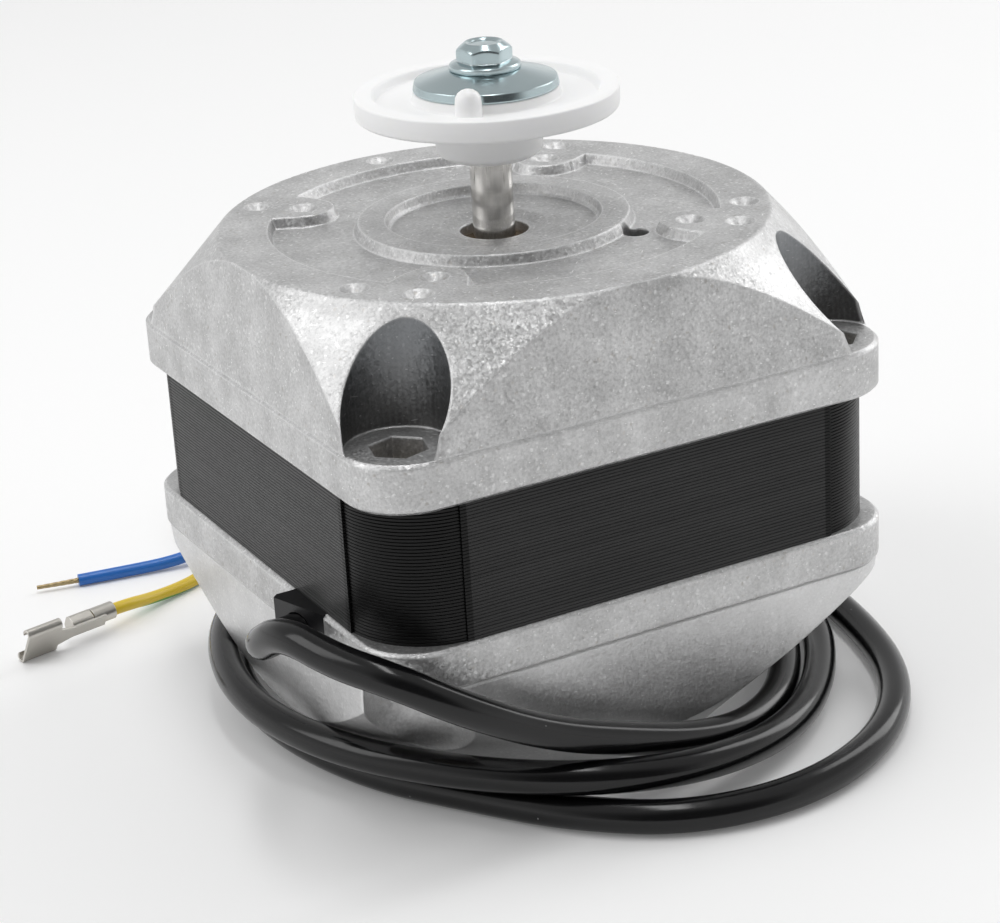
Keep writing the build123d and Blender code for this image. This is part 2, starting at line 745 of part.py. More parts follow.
# Shaft with a flatted, tapped upper end
with BuildPart() as shaft:
    with BuildSketch(Plane.XY.offset(shaft_end_level)):
        Circle(shaft_radius)
    extrude(amount=hub_bottom + shoulder_depth - shaft_end_level)
    chamfer(faces().sort_by(Axis.Z)[0].edges(), rim_edge)
    with BuildSketch(Plane.XY.offset(hub_bottom + shoulder_depth)):
        Circle(drive_radius)
        with Locations((drive_flat + drive_radius, 0)):
            Rectangle(2 * drive_radius, 2 * drive_radius, mode=Mode.SUBTRACT)
    extrude(amount=shaft_top - hub_bottom - shoulder_depth)
    with BuildSketch(Plane.XY.offset(shaft_top - tapped_depth)):
        Circle(screw_radius + thread_clearance)
    extrude(amount=tapped_depth, mode=Mode.SUBTRACT)

# Fan hub with its driving peg
with BuildPart() as fan_hub:
    with BuildSketch(Plane.XZ):
        with BuildLine():
            Polyline(
                (0, hub_bottom),
                (collar_foot, hub_bottom),
                (collar_corner, hub_bottom + collar_corner_rise),
                (collar_waist, hub_bottom + collar_waist_rise),
                (collar_top, hub_bottom + collar_top_rise),
                (disc_underside_radius, hub_bottom + disc_underside_rise),
                (hub_disc_radius - hub_edge, hub_bottom + hub_disc_rise),
                (hub_disc_radius, hub_bottom + hub_disc_rise + hub_edge),
                (hub_disc_radius, hub_bottom + hub_disc_top_rise - hub_edge),
                (hub_disc_radius - hub_edge, hub_bottom + hub_disc_top_rise),
                (hub_ring_inner, hub_bottom + hub_disc_top_rise),
                (hub_ring_inner, hub_bottom + hub_recess_rise),
                (hub_boss_radius + hub_edge / 2, hub_bottom + hub_recess_rise),
                (hub_boss_radius, hub_boss_top - hub_edge / 2),
                (hub_boss_radius - hub_edge / 2, hub_boss_top),
                (0, hub_boss_top),
                close=True,
            )
        make_face()
    revolve(axis=Axis.Z)
    with BuildSketch(Plane.XY.offset(hub_bottom)):
        Circle(shaft_radius + fit_clearance)
    extrude(amount=shoulder_depth, mode=Mode.SUBTRACT)
    with BuildSketch(Plane.XY.offset(hub_bottom)):
        Circle(drive_radius + fit_clearance)
        with Locations((drive_flat + fit_clearance + drive_radius, 0)):
            Rectangle(2 * drive_radius, 3 * drive_radius, mode=Mode.SUBTRACT)
    extrude(amount=hub_boss_rise, mode=Mode.SUBTRACT)
    with Locations(around(peg_circle, peg_angle, hub_bottom + hub_recess_rise)):
        Cylinder(
            peg_radius, peg_rise - hub_recess_rise - peg_radius / 2,
            align=(Align.CENTER, Align.CENTER, Align.MIN))
    fillet(faces().filter_by(GeomType.PLANE).sort_by(Axis.Z)[-1].edges(), peg_radius / 2)

with BuildPart() as hub_washer:
    with BuildSketch(Plane.XZ):
        with BuildLine():
            Polyline(
                (washer_hole, hub_boss_top + washer_dish),
                (bolt_flange_radius + fit_clearance, hub_boss_top + washer_dish),
                (washer_radius, hub_boss_top),
                (washer_radius, hub_boss_top + washer_thickness),
                (bolt_flange_radius + fit_clearance, bolt_seat),
                (washer_hole, bolt_seat),
                close=True,
            )
        make_face()
    revolve(axis=Axis.Z)

# Hexagon screw with a flange
bolt_hexagon = hexagon_head(bolt_flange_height + bolt_hex_height)
with BuildPart() as hub_screw:
    with BuildSketch(Plane.XY.offset(bolt_seat)):
        Circle(bolt_flange_radius)
    extrude(amount=bolt_flange_height)
    chamfer(faces().sort_by(Axis.Z)[-1].edges(), bolt_chamfer)
    with Locations(Location((0, 0, bolt_seat), (0, 0, bolt_face_angle))):
        add(bolt_hexagon)
    with BuildSketch(Plane.XY.offset(bolt_seat - bolt_length)):
        Circle(screw_radius)
    extrude(amount=bolt_length)

# Pan head screws at the near and far corners, with their nuts
with BuildPart() as through_screws:
    with BuildSketch(Plane.XY.offset(lower_rim_level - screw_head_height)):
        with Locations(*corners(near_corners)):
            Circle(screw_head_radius)
    extrude(amount=screw_head_height)
    fillet(edges().group_by(Axis.Z)[0], screw_head_edge)
    with BuildSketch(Plane.XY.offset(lower_rim_level - screw_head_height)):
        with Locations(*corners(near_corners)):
            RegularPolygon(socket_radius, 6, major_radius=False)
    extrude(amount=socket_depth, mode=Mode.SUBTRACT)
    with BuildSketch(Plane.XY.offset(lower_rim_level)):
        with Locations(*corners(near_corners)):
            Circle(screw_radius)
    extrude(amount=socket_floor + nut_thickness + screw_tip_reach - lower_rim_level)

nut_hexagon = hexagon_head(nut_thickness)
with BuildPart() as screw_nuts:
    for x_sign, y_sign in near_corners:
        facing = math.degrees(math.atan2(y_sign, x_sign))
        with Locations(Location(
                (x_sign * post_offset, y_sign * post_offset, socket_floor), (0, 0, facing))):
            add(nut_hexagon)
    with BuildSketch(Plane.XY.offset(socket_floor)):
        with Locations(*corners(near_corners)):
            Circle(screw_radius + thread_clearance)
    extrude(amount=nut_thickness, mode=Mode.SUBTRACT)

# Hexagon screws at the two other corners, threaded into the lower shield
corner_hexagon = hexagon_head(hex_head_height)
with BuildPart() as corner_screws:
    for x_sign, y_sign in side_corners:
        facing = math.degrees(math.atan2(y_sign, x_sign))
        with Locations(Location(
                (x_sign * post_offset, y_sign * post_offset, socket_floor), (0, 0, facing))):
            add(corner_hexagon)
    with BuildSketch(Plane.XY.offset(stack_bottom - corner_screw_reach)):
        with Locations(*corners(side_corners)):
            Circle(screw_radius)
    extrude(amount=socket_floor - stack_bottom + corner_screw_reach)

# Rubber grommet that fills the notch and leans out as a wedge
notch_floor = stack_bottom - grommet_depth
with BuildPart() as cord_grommet:
    with BuildSketch(Plane.XY.offset(notch_floor + grommet_gap)):
        with BuildLine():
            Polyline(
                (grommet_neck - cavity_side / 2, grommet_y - grommet_width / 2 + grommet_gap),
                (-half_side, grommet_y - grommet_width / 2 + grommet_gap),
                (-half_side - grommet_proud, grommet_y + grommet_width / 2 - grommet_bevel),
                (-half_side - grommet_proud + grommet_bevel, grommet_y + grommet_width / 2 - grommet_gap),
                (grommet_neck - cavity_side / 2, grommet_y + grommet_width / 2 - grommet_gap),
                close=True,
            )
        make_face()
    extrude(amount=grommet_depth - 2 * grommet_gap)
    with BuildSketch(Plane.XY.offset(notch_floor - grommet_flange_extra)):
        with Locations((grommet_neck + grommet_flange / 2 - cavity_side / 2, grommet_y)):
            Rectangle(grommet_flange, grommet_width + 2 * grommet_flange_extra)
    extrude(amount=grommet_depth + grommet_flange_extra - grommet_gap)
    with BuildSketch(Plane.YZ.offset(-half_side - 2 * grommet_proud)):
        with Locations((grommet_y, grommet_z)):
            Circle(cord_radius + grommet_gap)
    extrude(amount=half_side, mode=Mode.SUBTRACT)

# Sheathed cord, its three cores and their bare ends
for name, points, radius in (
    ("supply_cord", cord_points, cord_radius),
    ("blue_core", blue_points, core_radius),
    ("earth_core", earth_points, core_radius),
    ("brown_core", brown_points, core_radius),
    ("blue_conductor", blue_end_points, conductor_radius),
    ("brown_conductor", brown_end_points, conductor_radius),
):
    radii = bend_radii(points)
    with BuildPart() as tube:
        with BuildLine() as route:
            FilletPolyline(*points, radius=radii)
        with BuildSketch(Plane(origin=route.line @ 0, z_dir=route.line % 0)):
            Circle(radius)
        sweep(path=route.line)
    tube.part.label = name
    export_step(tube.part, f"parts/{name}.step")
    expected = math.pi * radius**2 * route.wires()[0].length
    print(name, "bend radii", [round(value, 1) for value in radii])
    print(name, "volume", round(tube.part.volume, 1), "section times length", round(expected, 1))

# Tin-plated receptacle crimped to the earth core, standing on its lower rolled edge
terminal_along = around(1, terminal_heading)
terminal_across = around(1, terminal_heading + 90)
lean = math.radians(terminal_lean)
terminal_normal = Vector(
    -terminal_across[0] * math.cos(lean), -terminal_across[1] * math.cos(lean), math.sin(lean))
terminal_origin = Vector(*barrel_start, barrel_level) - terminal_normal * barrel_axis
terminal_plane = Plane(origin=terminal_origin, x_dir=terminal_along, z_dir=terminal_normal)
barrel_plane = Plane(
    origin=Vector(*barrel_start, barrel_level), x_dir=terminal_normal, z_dir=terminal_along)
with BuildPart() as earth_terminal:
    with BuildSketch(barrel_plane):
        Circle(core_radius + barrel_gap + terminal_metal)
        Circle(core_radius + barrel_gap, mode=Mode.SUBTRACT)
    extrude(amount=barrel_length)
    with BuildSketch(barrel_plane.offset(crimp_start)):
        RectangleRounded(2 * crimp_rise, crimp_width, crimp_rise - terminal_metal)
    extrude(amount=crimp_length)
    with BuildSketch(terminal_plane):
        with BuildLine():
            Polyline(
                (barrel_length / 2, -strip_width / 2),
                (crimp_start + crimp_length, -strip_width / 2),
                (neck_end, -neck_width / 2),
                (receptacle_start, curl_radius - curl_offset),
                (receptacle_start + crimp_rise, curl_radius - curl_offset),
                (receptacle_start + crimp_rise, curl_offset - curl_radius),
                (receptacle_start, curl_offset - curl_radius),
                (neck_end, neck_width / 2),
                (crimp_start + crimp_length, strip_width / 2),
                (barrel_length / 2, strip_width / 2),
                close=True,
            )
        make_face()
    extrude(amount=terminal_metal)
    curl_plane = Plane(
        origin=terminal_origin + Vector(*terminal_along) * receptacle_start,
        x_dir=terminal_plane.y_dir, z_dir=terminal_along)
    with BuildSketch(curl_plane):
        with Locations((0, terminal_metal / 2)):
            Rectangle(2 * curl_offset, terminal_metal)
        for side in (-1, 1):
            with Locations((side * curl_offset, curl_radius)):
                Circle(curl_radius)
                Circle(curl_radius - terminal_metal, mode=Mode.SUBTRACT)
            with Locations((side * (curl_offset - curl_radius), terminal_metal + curl_opening / 2)):
                Rectangle(2 * curl_radius, curl_opening, mode=Mode.SUBTRACT)
    extrude(amount=receptacle_end - receptacle_start)

for name, piece in (
    ("lower_end_shield", lower_end_shield),
    ("upper_end_shield", upper_end_shield),
    ("stator_stack", stator_stack),
    ("rotor_core", rotor_core),
    ("rotor_cage", rotor_cage),
    ("shaft", shaft),
    ("fan_hub", fan_hub),
    ("hub_washer", hub_washer),
    ("hub_screw", hub_screw),
    ("through_screws", through_screws),
    ("screw_nuts", screw_nuts),
    ("corner_screws", corner_screws),
    ("cord_grommet", cord_grommet),
    ("earth_terminal", earth_terminal),
):
    piece.part.label = name
    export_step(piece.part, f"parts/{name}.step")
    print(name, round(piece.part.volume, 1), len(piece.part.solids()))
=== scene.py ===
import math

import bmesh
import bpy
import numpy as np
from mathutils import Matrix, Vector


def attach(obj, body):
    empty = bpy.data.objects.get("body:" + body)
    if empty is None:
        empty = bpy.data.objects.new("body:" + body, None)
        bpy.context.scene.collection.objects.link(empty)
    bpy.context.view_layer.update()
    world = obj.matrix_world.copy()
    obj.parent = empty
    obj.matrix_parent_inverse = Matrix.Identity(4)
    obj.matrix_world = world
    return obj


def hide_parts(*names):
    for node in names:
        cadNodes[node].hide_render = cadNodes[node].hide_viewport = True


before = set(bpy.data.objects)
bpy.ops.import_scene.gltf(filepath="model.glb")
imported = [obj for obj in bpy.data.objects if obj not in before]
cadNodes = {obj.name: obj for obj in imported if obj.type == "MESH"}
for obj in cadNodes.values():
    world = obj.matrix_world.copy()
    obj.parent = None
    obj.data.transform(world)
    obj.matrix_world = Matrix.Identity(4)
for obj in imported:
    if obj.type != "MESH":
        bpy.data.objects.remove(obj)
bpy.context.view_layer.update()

scene = bpy.context.scene
mm = 0.001
print("frame loaded:", len(cadNodes), "nodes")


# the camera, at the angle of the photograph
cameraSet = {
    "place": (-179.16, -334.97, 189.96),   # in millimetres
    "right": (0.8713, -0.4876, -0.0547),
    "up": (0.2282, 0.3039, 0.9250),
    "lens": 95.39,
    "sensor": 36.0,
}


def makeCamera(values):
    # columns of the turn are right, up and back, made square to each other
    right = Vector(values["right"]).normalized()
    back = right.cross(Vector(values["up"])).normalized()
    up = back.cross(right)
    turn = Matrix((right, up, back)).transposed()
    data = bpy.data.cameras.new("photoCamera")
    data.lens = values["lens"]
    data.sensor_width = values["sensor"]
    data.clip_start, data.clip_end = 0.01, 20.0
    item = bpy.data.objects.new("photoCamera", data)
    scene.collection.objects.link(item)
    item.location = Vector(values["place"]) * mm
    item.rotation_mode = "QUATERNION"
    item.rotation_quaternion = turn.to_quaternion()
    scene.camera = item


makeCamera(cameraSet)


# tools for meshes
def nodeSpan(name):
    # lowest and highest corner of a CAD node, in millimetres to two places
    corners = np.array([tuple(corner) for corner in cadNodes[name].bound_box]) / mm
    return corners.min(axis=0).round(2), corners.max(axis=0).round(2)


def facesMesh(name, points, faces, weld=1e-6):
    # points in millimetres; equal points are merged, which closes seams and poles
    data = bpy.data.meshes.new(name)
    data.from_pydata((np.asarray(points) * mm).tolist(), [], faces)
    work = bmesh.new()
    work.from_mesh(data)
    bmesh.ops.remove_doubles(work, verts=work.verts, dist=weld)
    bmesh.ops.dissolve_degenerate(work, edges=work.edges, dist=weld)
    bmesh.ops.recalc_face_normals(work, faces=work.faces)
    work.to_mesh(data)
    work.free()
    return data


def ringFaces(levels, steps, first=0):
    # a quad between each point, its neighbour in the ring and the two above; first numbers the first point
    index = np.arange(levels * steps).reshape(levels, steps) + first
    index = np.concatenate([index, index[:, :1]], axis=1)
    quads = np.stack([index[:-1, :-1], index[:-1, 1:], index[1:, 1:], index[1:, :-1]], axis=-1)
    return quads.reshape(-1, 4).tolist()


def gridMesh(name, *grids):
    # each grid is points[level, step], closed in a ring over its steps; all of them go into one mesh
    faces, count = [], 0
    for grid in grids:
        faces += ringFaces(*grid.shape[:2], count)
        count += grid.shape[0] * grid.shape[1]
    return facesMesh(name, np.concatenate([grid.reshape(-1, 3) for grid in grids]), faces)


def roundedProfile(corners, steps=6):
    # corners are (radius, height, rounding); each becomes an arc, tangent to the two runs beside it
    table = np.asarray(corners, float)
    line, radius = table[:, :2], table[1:-1, 2]
    before = line[:-2] - line[1:-1]
    after = line[2:] - line[1:-1]
    before /= np.linalg.norm(before, axis=1, keepdims=True)
    after /= np.linalg.norm(after, axis=1, keepdims=True)
    half = np.arccos(np.clip((before * after).sum(1), -1, 1)) / 2
    middle = before + after
    middle /= np.maximum(np.linalg.norm(middle, axis=1, keepdims=True), 1e-9)
    centre = line[1:-1] + middle * (radius / np.sin(half))[:, None]
    start = line[1:-1] + before * (radius / np.tan(half))[:, None] - centre
    end = line[1:-1] + after * (radius / np.tan(half))[:, None] - centre
    share = np.linspace(0, 1, steps)[None, :, None]
    sweep = (np.pi - 2 * half)[:, None, None]
    arcs = np.sin((1 - share) * sweep) * start[:, None] + np.sin(share * sweep) * end[:, None]
    arcs = arcs / np.sin(sweep) + centre[:, None]
    return np.concatenate([line[:1], arcs.reshape(-1, 2), line[-1:]])


def turnedGrid(profile, steps=128):
    # (radius, height) turned about the shaft axis: x = r cos a, y = r sin a
    angle = np.linspace(0, 2 * np.pi, steps, endpoint=False)
    radius, height = profile[:, :1], profile[:, 1:]
    return np.stack([radius * np.cos(angle), radius * np.sin(angle), height + 0 * angle], axis=-1)


# tools for materials
def grey(level):
    return (level, level, level, 1.0)


def put(tree, kind, inputs=None, **settings):
    node = tree.nodes.new("ShaderNode" + kind)
    node.location = (240 * (len(tree.nodes) % 12), -260 * (len(tree.nodes) // 12))
    for key, value in settings.items():
        setattr(node, key, value)
    for key, value in (inputs or {}).items():
        setInput(tree, node.inputs[key], value)
    return node


def setInput(tree, socket, value):
    # a value may be a number, a colour or another node's output
    if isinstance(value, bpy.types.NodeSocket):
        tree.links.new(value, socket)
    else:
        socket.default_value = value


def mixColour(tree, share, low, high):
    return put(tree, "Mix", {0: share, 6: low, 7: high}, data_type="RGBA").outputs[2]


def calc(tree, operation, *values, clamp=False):
    return put(tree, "Math", dict(enumerate(values)), operation=operation, use_clamp=clamp).outputs[0]


def ranged(tree, value, low, high, lowResult=0.0, highResult=1.0):
    # low gives lowResult and high gives highResult, clamped outside
    return put(tree, "MapRange", {"Value": value, 1: low, 2: high, 3: lowResult, 4: highResult}).outputs[0]


def noise(tree, place, scale, detail=4.0, roughness=0.5):
    return put(tree, "TexNoise", {"Vector": place, "Scale": scale, "Detail": detail, "Roughness": roughness})


def objectPlace(tree):
    return put(tree, "TexCoord").outputs["Object"]


def newGroup(name, inputs, outputs):
    group = bpy.data.node_groups.new(name, "ShaderNodeTree")
    for label, value in inputs:
        socket = group.interface.new_socket(label, in_out="INPUT", socket_type="NodeSocketFloat")
        socket.default_value = value
    for label, kind in outputs:
        group.interface.new_socket(label, in_out="OUTPUT", socket_type="NodeSocket" + kind)
    return group, group.nodes.new("NodeGroupInput").outputs, group.nodes.new("NodeGroupOutput").inputs


def useGroup(tree, group, **values):
    return put(tree, "Group", values, node_tree=group).outputs


def newMaterial(name):
    material = bpy.data.materials.new(name)
    material.use_nodes = True
    return material, material.node_tree, material.node_tree.nodes["Principled BSDF"]


# cast skin, shared by everything that is cast; sizes are in waves or cells per millimetre
skinSet = {
    "cloud": 0.14, "grain": 2.3, "crystal": 3.0, "dot": 1.15,
    "dotInner": 0.22, "dotOuter": 0.34, "brightShare": 0.30, "darkShare": 0.10,
}


def makeCastSkin(values):
    # cloud: patches of 5 to 10 mm; grain: under half a millimetre; facet: a random lean of each crystal;
    # bright and dark: small dots, of which only a share is kept
    group, given, result = newGroup("castSkin", [("Size", 1.0)], [
        ("Cloud", "Float"), ("Grain", "Float"), ("Facet", "Vector"), ("Bright", "Float"), ("Dark", "Float")])
    place = objectPlace(group)
    perLength = calc(group, "DIVIDE", 1 / mm, given["Size"])
    sized = put(group, "VectorMath", {0: place, "Scale": perLength}, operation="SCALE").outputs[0]
    cloud = noise(group, sized, values["cloud"], roughness=0.6)
    grain = noise(group, sized, values["grain"], roughness=0.65)
    bent = put(group, "VectorMath", {0: sized, 1: grain.outputs["Color"]}, operation="ADD").outputs[0]
    crystals = put(group, "TexVoronoi", {"Vector": bent, "Scale": values["crystal"]})
    lean = put(group, "VectorMath", {0: crystals.outputs["Color"], 1: (0.5, 0.5, 0.5)}, operation="SUBTRACT")
    dots = put(group, "TexVoronoi", {"Vector": bent, "Scale": values["dot"]})
    picked = put(group, "SeparateColor", {"Color": dots.outputs["Color"]}).outputs
    for label, pick, share in (("Bright", 0, values["brightShare"]), ("Dark", 1, values["darkShare"])):
        dot = ranged(group, dots.outputs["Distance"], values["dotInner"], values["dotOuter"], 1.0, 0.0)
        kept = calc(group, "LESS_THAN", picked[pick], share)
        group.links.new(calc(group, "MULTIPLY", dot, kept), result[label])
    group.links.new(cloud.outputs["Fac"], result["Cloud"])
    group.links.new(grain.outputs["Fac"], result["Grain"])
    group.links.new(lean.outputs[0], result["Facet"])
    return group


# edge wear and painted highlight, shared by the metals: patches per metre, the patch tone that wears, and how
# soon the mask is full
edgeMaskSet = {"patch": 420.0, "patchTone": 0.62, "patchGain": 3.0, "gain": 9.0, "samples": 4}


def makeEdgeWearAndHighlight(values):
    # where the rounded normal leaves the face's own, the surface is an edge, painted brighter: partly rubbed
    # wear, partly a painted highlight
    group, given, result = newGroup("edgeWearAndHighlight", [("Width", 0.5), ("Breakup", 0.5)], [
        ("Mask", "Float"), ("Normal", "Vector")])
    place = objectPlace(group)
    width = calc(group, "MULTIPLY", given["Width"], mm)
    soft = put(group, "Bevel", {"Radius": width}, samples=values["samples"]).outputs[0]
    own = put(group, "NewGeometry").outputs["Normal"]
    match = put(group, "VectorMath", {0: soft, 1: own}, operation="DOT_PRODUCT").outputs["Value"]
    turned = calc(group, "SUBTRACT", 1.0, match)
    patchy = noise(group, place, values["patch"], roughness=0.7).outputs["Fac"]
    patchy = calc(group, "SUBTRACT", patchy, values["patchTone"])
    kept = calc(group, "MULTIPLY_ADD", patchy, values["patchGain"], 1.0)
    eased = put(group, "Mix", {0: given["Breakup"], 2: 1.0, 3: kept}).outputs[0]
    strong = calc(group, "MULTIPLY", turned, values["gain"])
    group.links.new(calc(group, "MULTIPLY", strong, eased, clamp=True), result["Mask"])
    group.links.new(soft, result["Normal"])
    return group


# scratches: size of a cell in millimetres, how far from its middle it marks, and the directions
nickSet = {
    "cell": (0.5, 0.5, 5.0), "reach": 0.16,
    "turns": ((1.35, 0.5, 0.4), (0.9, -1.1, 1.3), (-1.2, 0.8, 2.2), (1.7, 0.2, -0.7)),
}


def makeNicks(values):
    # long cells in several directions, of which few are kept, each thin at its middle
    group, given, result = newGroup("nicks", [("Share", 0.03)], [("Mask", "Float")])
    place = objectPlace(group)
    cell = tuple(size * mm for size in values["cell"])
    mask = 0.0
    for turn in values["turns"]:
        laid = put(group, "Mapping", {"Vector": place, "Rotation": turn, "Scale": cell},
                   vector_type="TEXTURE").outputs[0]
        cells = put(group, "TexVoronoi", {"Vector": laid, "Scale": 1.0})
        picked = put(group, "SeparateColor", {"Color": cells.outputs["Color"]}).outputs[1]
        near = calc(group, "LESS_THAN", cells.outputs["Distance"], values["reach"])
        kept = calc(group, "MULTIPLY", near, calc(group, "LESS_THAN", picked, given["Share"]))
        mask = calc(group, "MAXIMUM", mask, kept)
    group.links.new(mask, result["Mask"])
    return group


castSkin = makeCastSkin(skinSet)
edgeWearAndHighlight = makeEdgeWearAndHighlight(edgeMaskSet)
nicks = makeNicks(nickSet)


# cast aluminium of the two end shields; levels and radii are in millimetres
castingLook = {
    "dark": grey(0.42), "light": grey(0.70), "bright": grey(0.92), "spot": (0.30, 0.27, 0.23, 1.0),
    "cloudShare": 0.8, "grainShare": 1.2, "toneLow": 0.74, "toneHigh": 1.26,
    "brightDots": 0.45, "darkDots": 0.40, "metallic": 0.86,
    "smooth": 0.34, "rough": 0.50, "grainLow": 0.35, "grainHigh": 0.65,
    "topLevel": 73.5, "topRoughness": 0.04,
    "lean": 0.20, "grainDepth": 0.028, "nickDepth": 0.8, "bump": 0.6,
    "edgeWidth": 0.55, "edgeBreakup": 0.9, "edgeShare": 0.85, "nickShare": 0.09, "nickWear": 0.85,
    # below footLevel the lower shield's colour is lifted toward bright: a painted reflection of the floor
    "footLevel": 23.5, "footBlend": 1.0, "footPaintedLight": 0.42, "footSmooth": 0.3,
}
pocketLook = {
    "post": 35.5, "radius": 7.75, "blend": 0.2, "foot": 58.3, "low": 58.5, "high": 71.0,
    "steep": 0.5, "share": 0.96, "clean": 0.9,
    # the two colours are painted shade in the screw pockets, darkest at the floor (with some dirt), lighter
    # up the wall
    "shadeAndDirt": (0.012, 0.010, 0.007, 1.0), "wall": (0.13, 0.142, 0.155, 1.0),
}


def pocketMask(tree, place, look):
    # distance to the nearest post's axis under the pocket's radius, above its floor, on a steep wall: where
    # the pockets' painted shade goes
    across = put(tree, "CombineXYZ", {
        0: calc(tree, "SUBTRACT", calc(tree, "ABSOLUTE", place[0]), look["post"] * mm),
        1: calc(tree, "SUBTRACT", calc(tree, "ABSOLUTE", place[1]), look["post"] * mm)}).outputs[0]
    reach = put(tree, "VectorMath", {0: across}, operation="LENGTH").outputs["Value"]
    near = ranged(tree, reach, (look["radius"] - look["blend"]) * mm, look["radius"] * mm, 1.0, 0.0)
    above = calc(tree, "GREATER_THAN", place[2], look["foot"] * mm)
    upright = put(tree, "SeparateXYZ", {0: put(tree, "NewGeometry").outputs["Normal"]}).outputs[2]
    steep = calc(tree, "SUBTRACT", 1.0, calc(tree, "ABSOLUTE", upright), clamp=True)
    steep = calc(tree, "GREATER_THAN", steep, look["steep"])
    return calc(tree, "MULTIPLY", calc(tree, "MULTIPLY", near, above), steep)


def makeCasting(look, pocketSet):
    # cloudy grey with grain and dots; painted lighter at the foot (a painted reflection of the floor),
    # painted shade with some dirt in the pockets, bright on edges (wear and painted highlight) and nicks
    material, tree, shader = newMaterial("castAluminium")
    place = put(tree, "SeparateXYZ", {0: objectPlace(tree)}).outputs
    skin = useGroup(tree, castSkin, Size=1.0)
    edge = useGroup(tree, edgeWearAndHighlight, Width=look["edgeWidth"], Breakup=look["edgeBreakup"])
    marks = useGroup(tree, nicks, Share=look["nickShare"])["Mask"]
    mixed = calc(tree, "MULTIPLY_ADD", skin["Cloud"], look["cloudShare"], calc(
        tree, "MULTIPLY", skin["Grain"], look["grainShare"]))
    tone = ranged(tree, mixed, look["toneLow"], look["toneHigh"])
    base = mixColour(tree, tone, look["dark"], look["light"])
    base = mixColour(tree, calc(tree, "MULTIPLY", skin["Bright"], look["brightDots"]), base, look["bright"])
    base = mixColour(tree, calc(tree, "MULTIPLY", skin["Dark"], look["darkDots"]), base, look["spot"])
    # painted reflection of the floor: below the foot level the colour is lifted toward bright
    foot = ranged(tree, place[2], look["footLevel"] * mm, (look["footLevel"] + look["footBlend"]) * mm,
                  look["footPaintedLight"], 0.0)
    base = mixColour(tree, foot, base, look["bright"])
    # painted shade in the pockets, darkest at their floor, with some dirt
    pocket = pocketMask(tree, place, pocketSet)
    rise = ranged(tree, place[2], pocketSet["low"] * mm, pocketSet["high"] * mm)
    depth = mixColour(tree, rise, pocketSet["shadeAndDirt"], pocketSet["wall"])
    base = mixColour(tree, calc(tree, "MULTIPLY", pocket, pocketSet["share"]), base, depth)
    bare = calc(tree, "MULTIPLY_ADD", pocket, -pocketSet["clean"], 1.0)
    scratched = calc(tree, "MULTIPLY", calc(tree, "MULTIPLY", marks, look["nickWear"]), bare)
    # the edges' brightening is part rubbed wear, part painted highlight; the nicks are real scratches
    wornAndHighlit = calc(tree, "MAXIMUM", calc(tree, "MULTIPLY", edge["Mask"], look["edgeShare"]), scratched)
    base = mixColour(tree, wornAndHighlit, base, look["bright"])
    rough = ranged(tree, skin["Grain"], look["grainLow"], look["grainHigh"], look["smooth"], look["rough"])
    onTop = calc(tree, "GREATER_THAN", place[2], look["topLevel"] * mm)
    rough = calc(tree, "MULTIPLY_ADD", onTop, look["topRoughness"], rough)
    lean = calc(tree, "MULTIPLY_ADD", foot, -look["footSmooth"], look["lean"])
    tilt = put(tree, "VectorMath", {0: skin["Facet"], "Scale": lean}, operation="SCALE").outputs[0]
    leaning = put(tree, "VectorMath", {0: edge["Normal"], 1: tilt}, operation="ADD").outputs[0]
    leaning = put(tree, "VectorMath", {0: leaning}, operation="NORMALIZE").outputs[0]
    height = calc(tree, "SUBTRACT", skin["Grain"], calc(tree, "MULTIPLY", marks, look["nickDepth"]))
    bump = put(tree, "Bump", {"Strength": look["bump"], "Distance": look["grainDepth"] * mm, "Height": height,
                              "Normal": leaning}).outputs[0]
    tree.links.new(base, shader.inputs["Base Color"])
    tree.links.new(rough, shader.inputs["Roughness"])
    tree.links.new(bump, shader.inputs["Normal"])
    shader.inputs["Metallic"].default_value = look["metallic"]
    return material


def unevenRoughness(tree, fine, look):
    # the roughness, a little over and under its own value
    return calc(tree, "MULTIPLY_ADD", fine, look["uneven"], look["roughness"] - look["uneven"] / 2)


def skinBump(tree, fine, look, **more):
    # a fine skin, its depth in millimetres
    return put(tree, "Bump", {
        "Strength": look["bump"], "Distance": look["depth"] * mm, "Height": fine, **more}).outputs[0]


# black sheets of the stack: three tones, one sheet's height, and where the rounded corners start
laminationLook = {
    # the corner tone is painted shade on the rounded corners
    "base": grey(0.020), "sheen": grey(0.045), "corner": grey(0.003), "roughness": 0.34, "shine": 0.24,
    "pitch": 0.5024, "cornerStart": 29.5, "sheetShare": 0.45, "cloudShare": 0.6,
    "cloud": 60.0, "fine": 900.0, "uneven": 0.20, "bump": 0.4, "depth": 0.02,
}


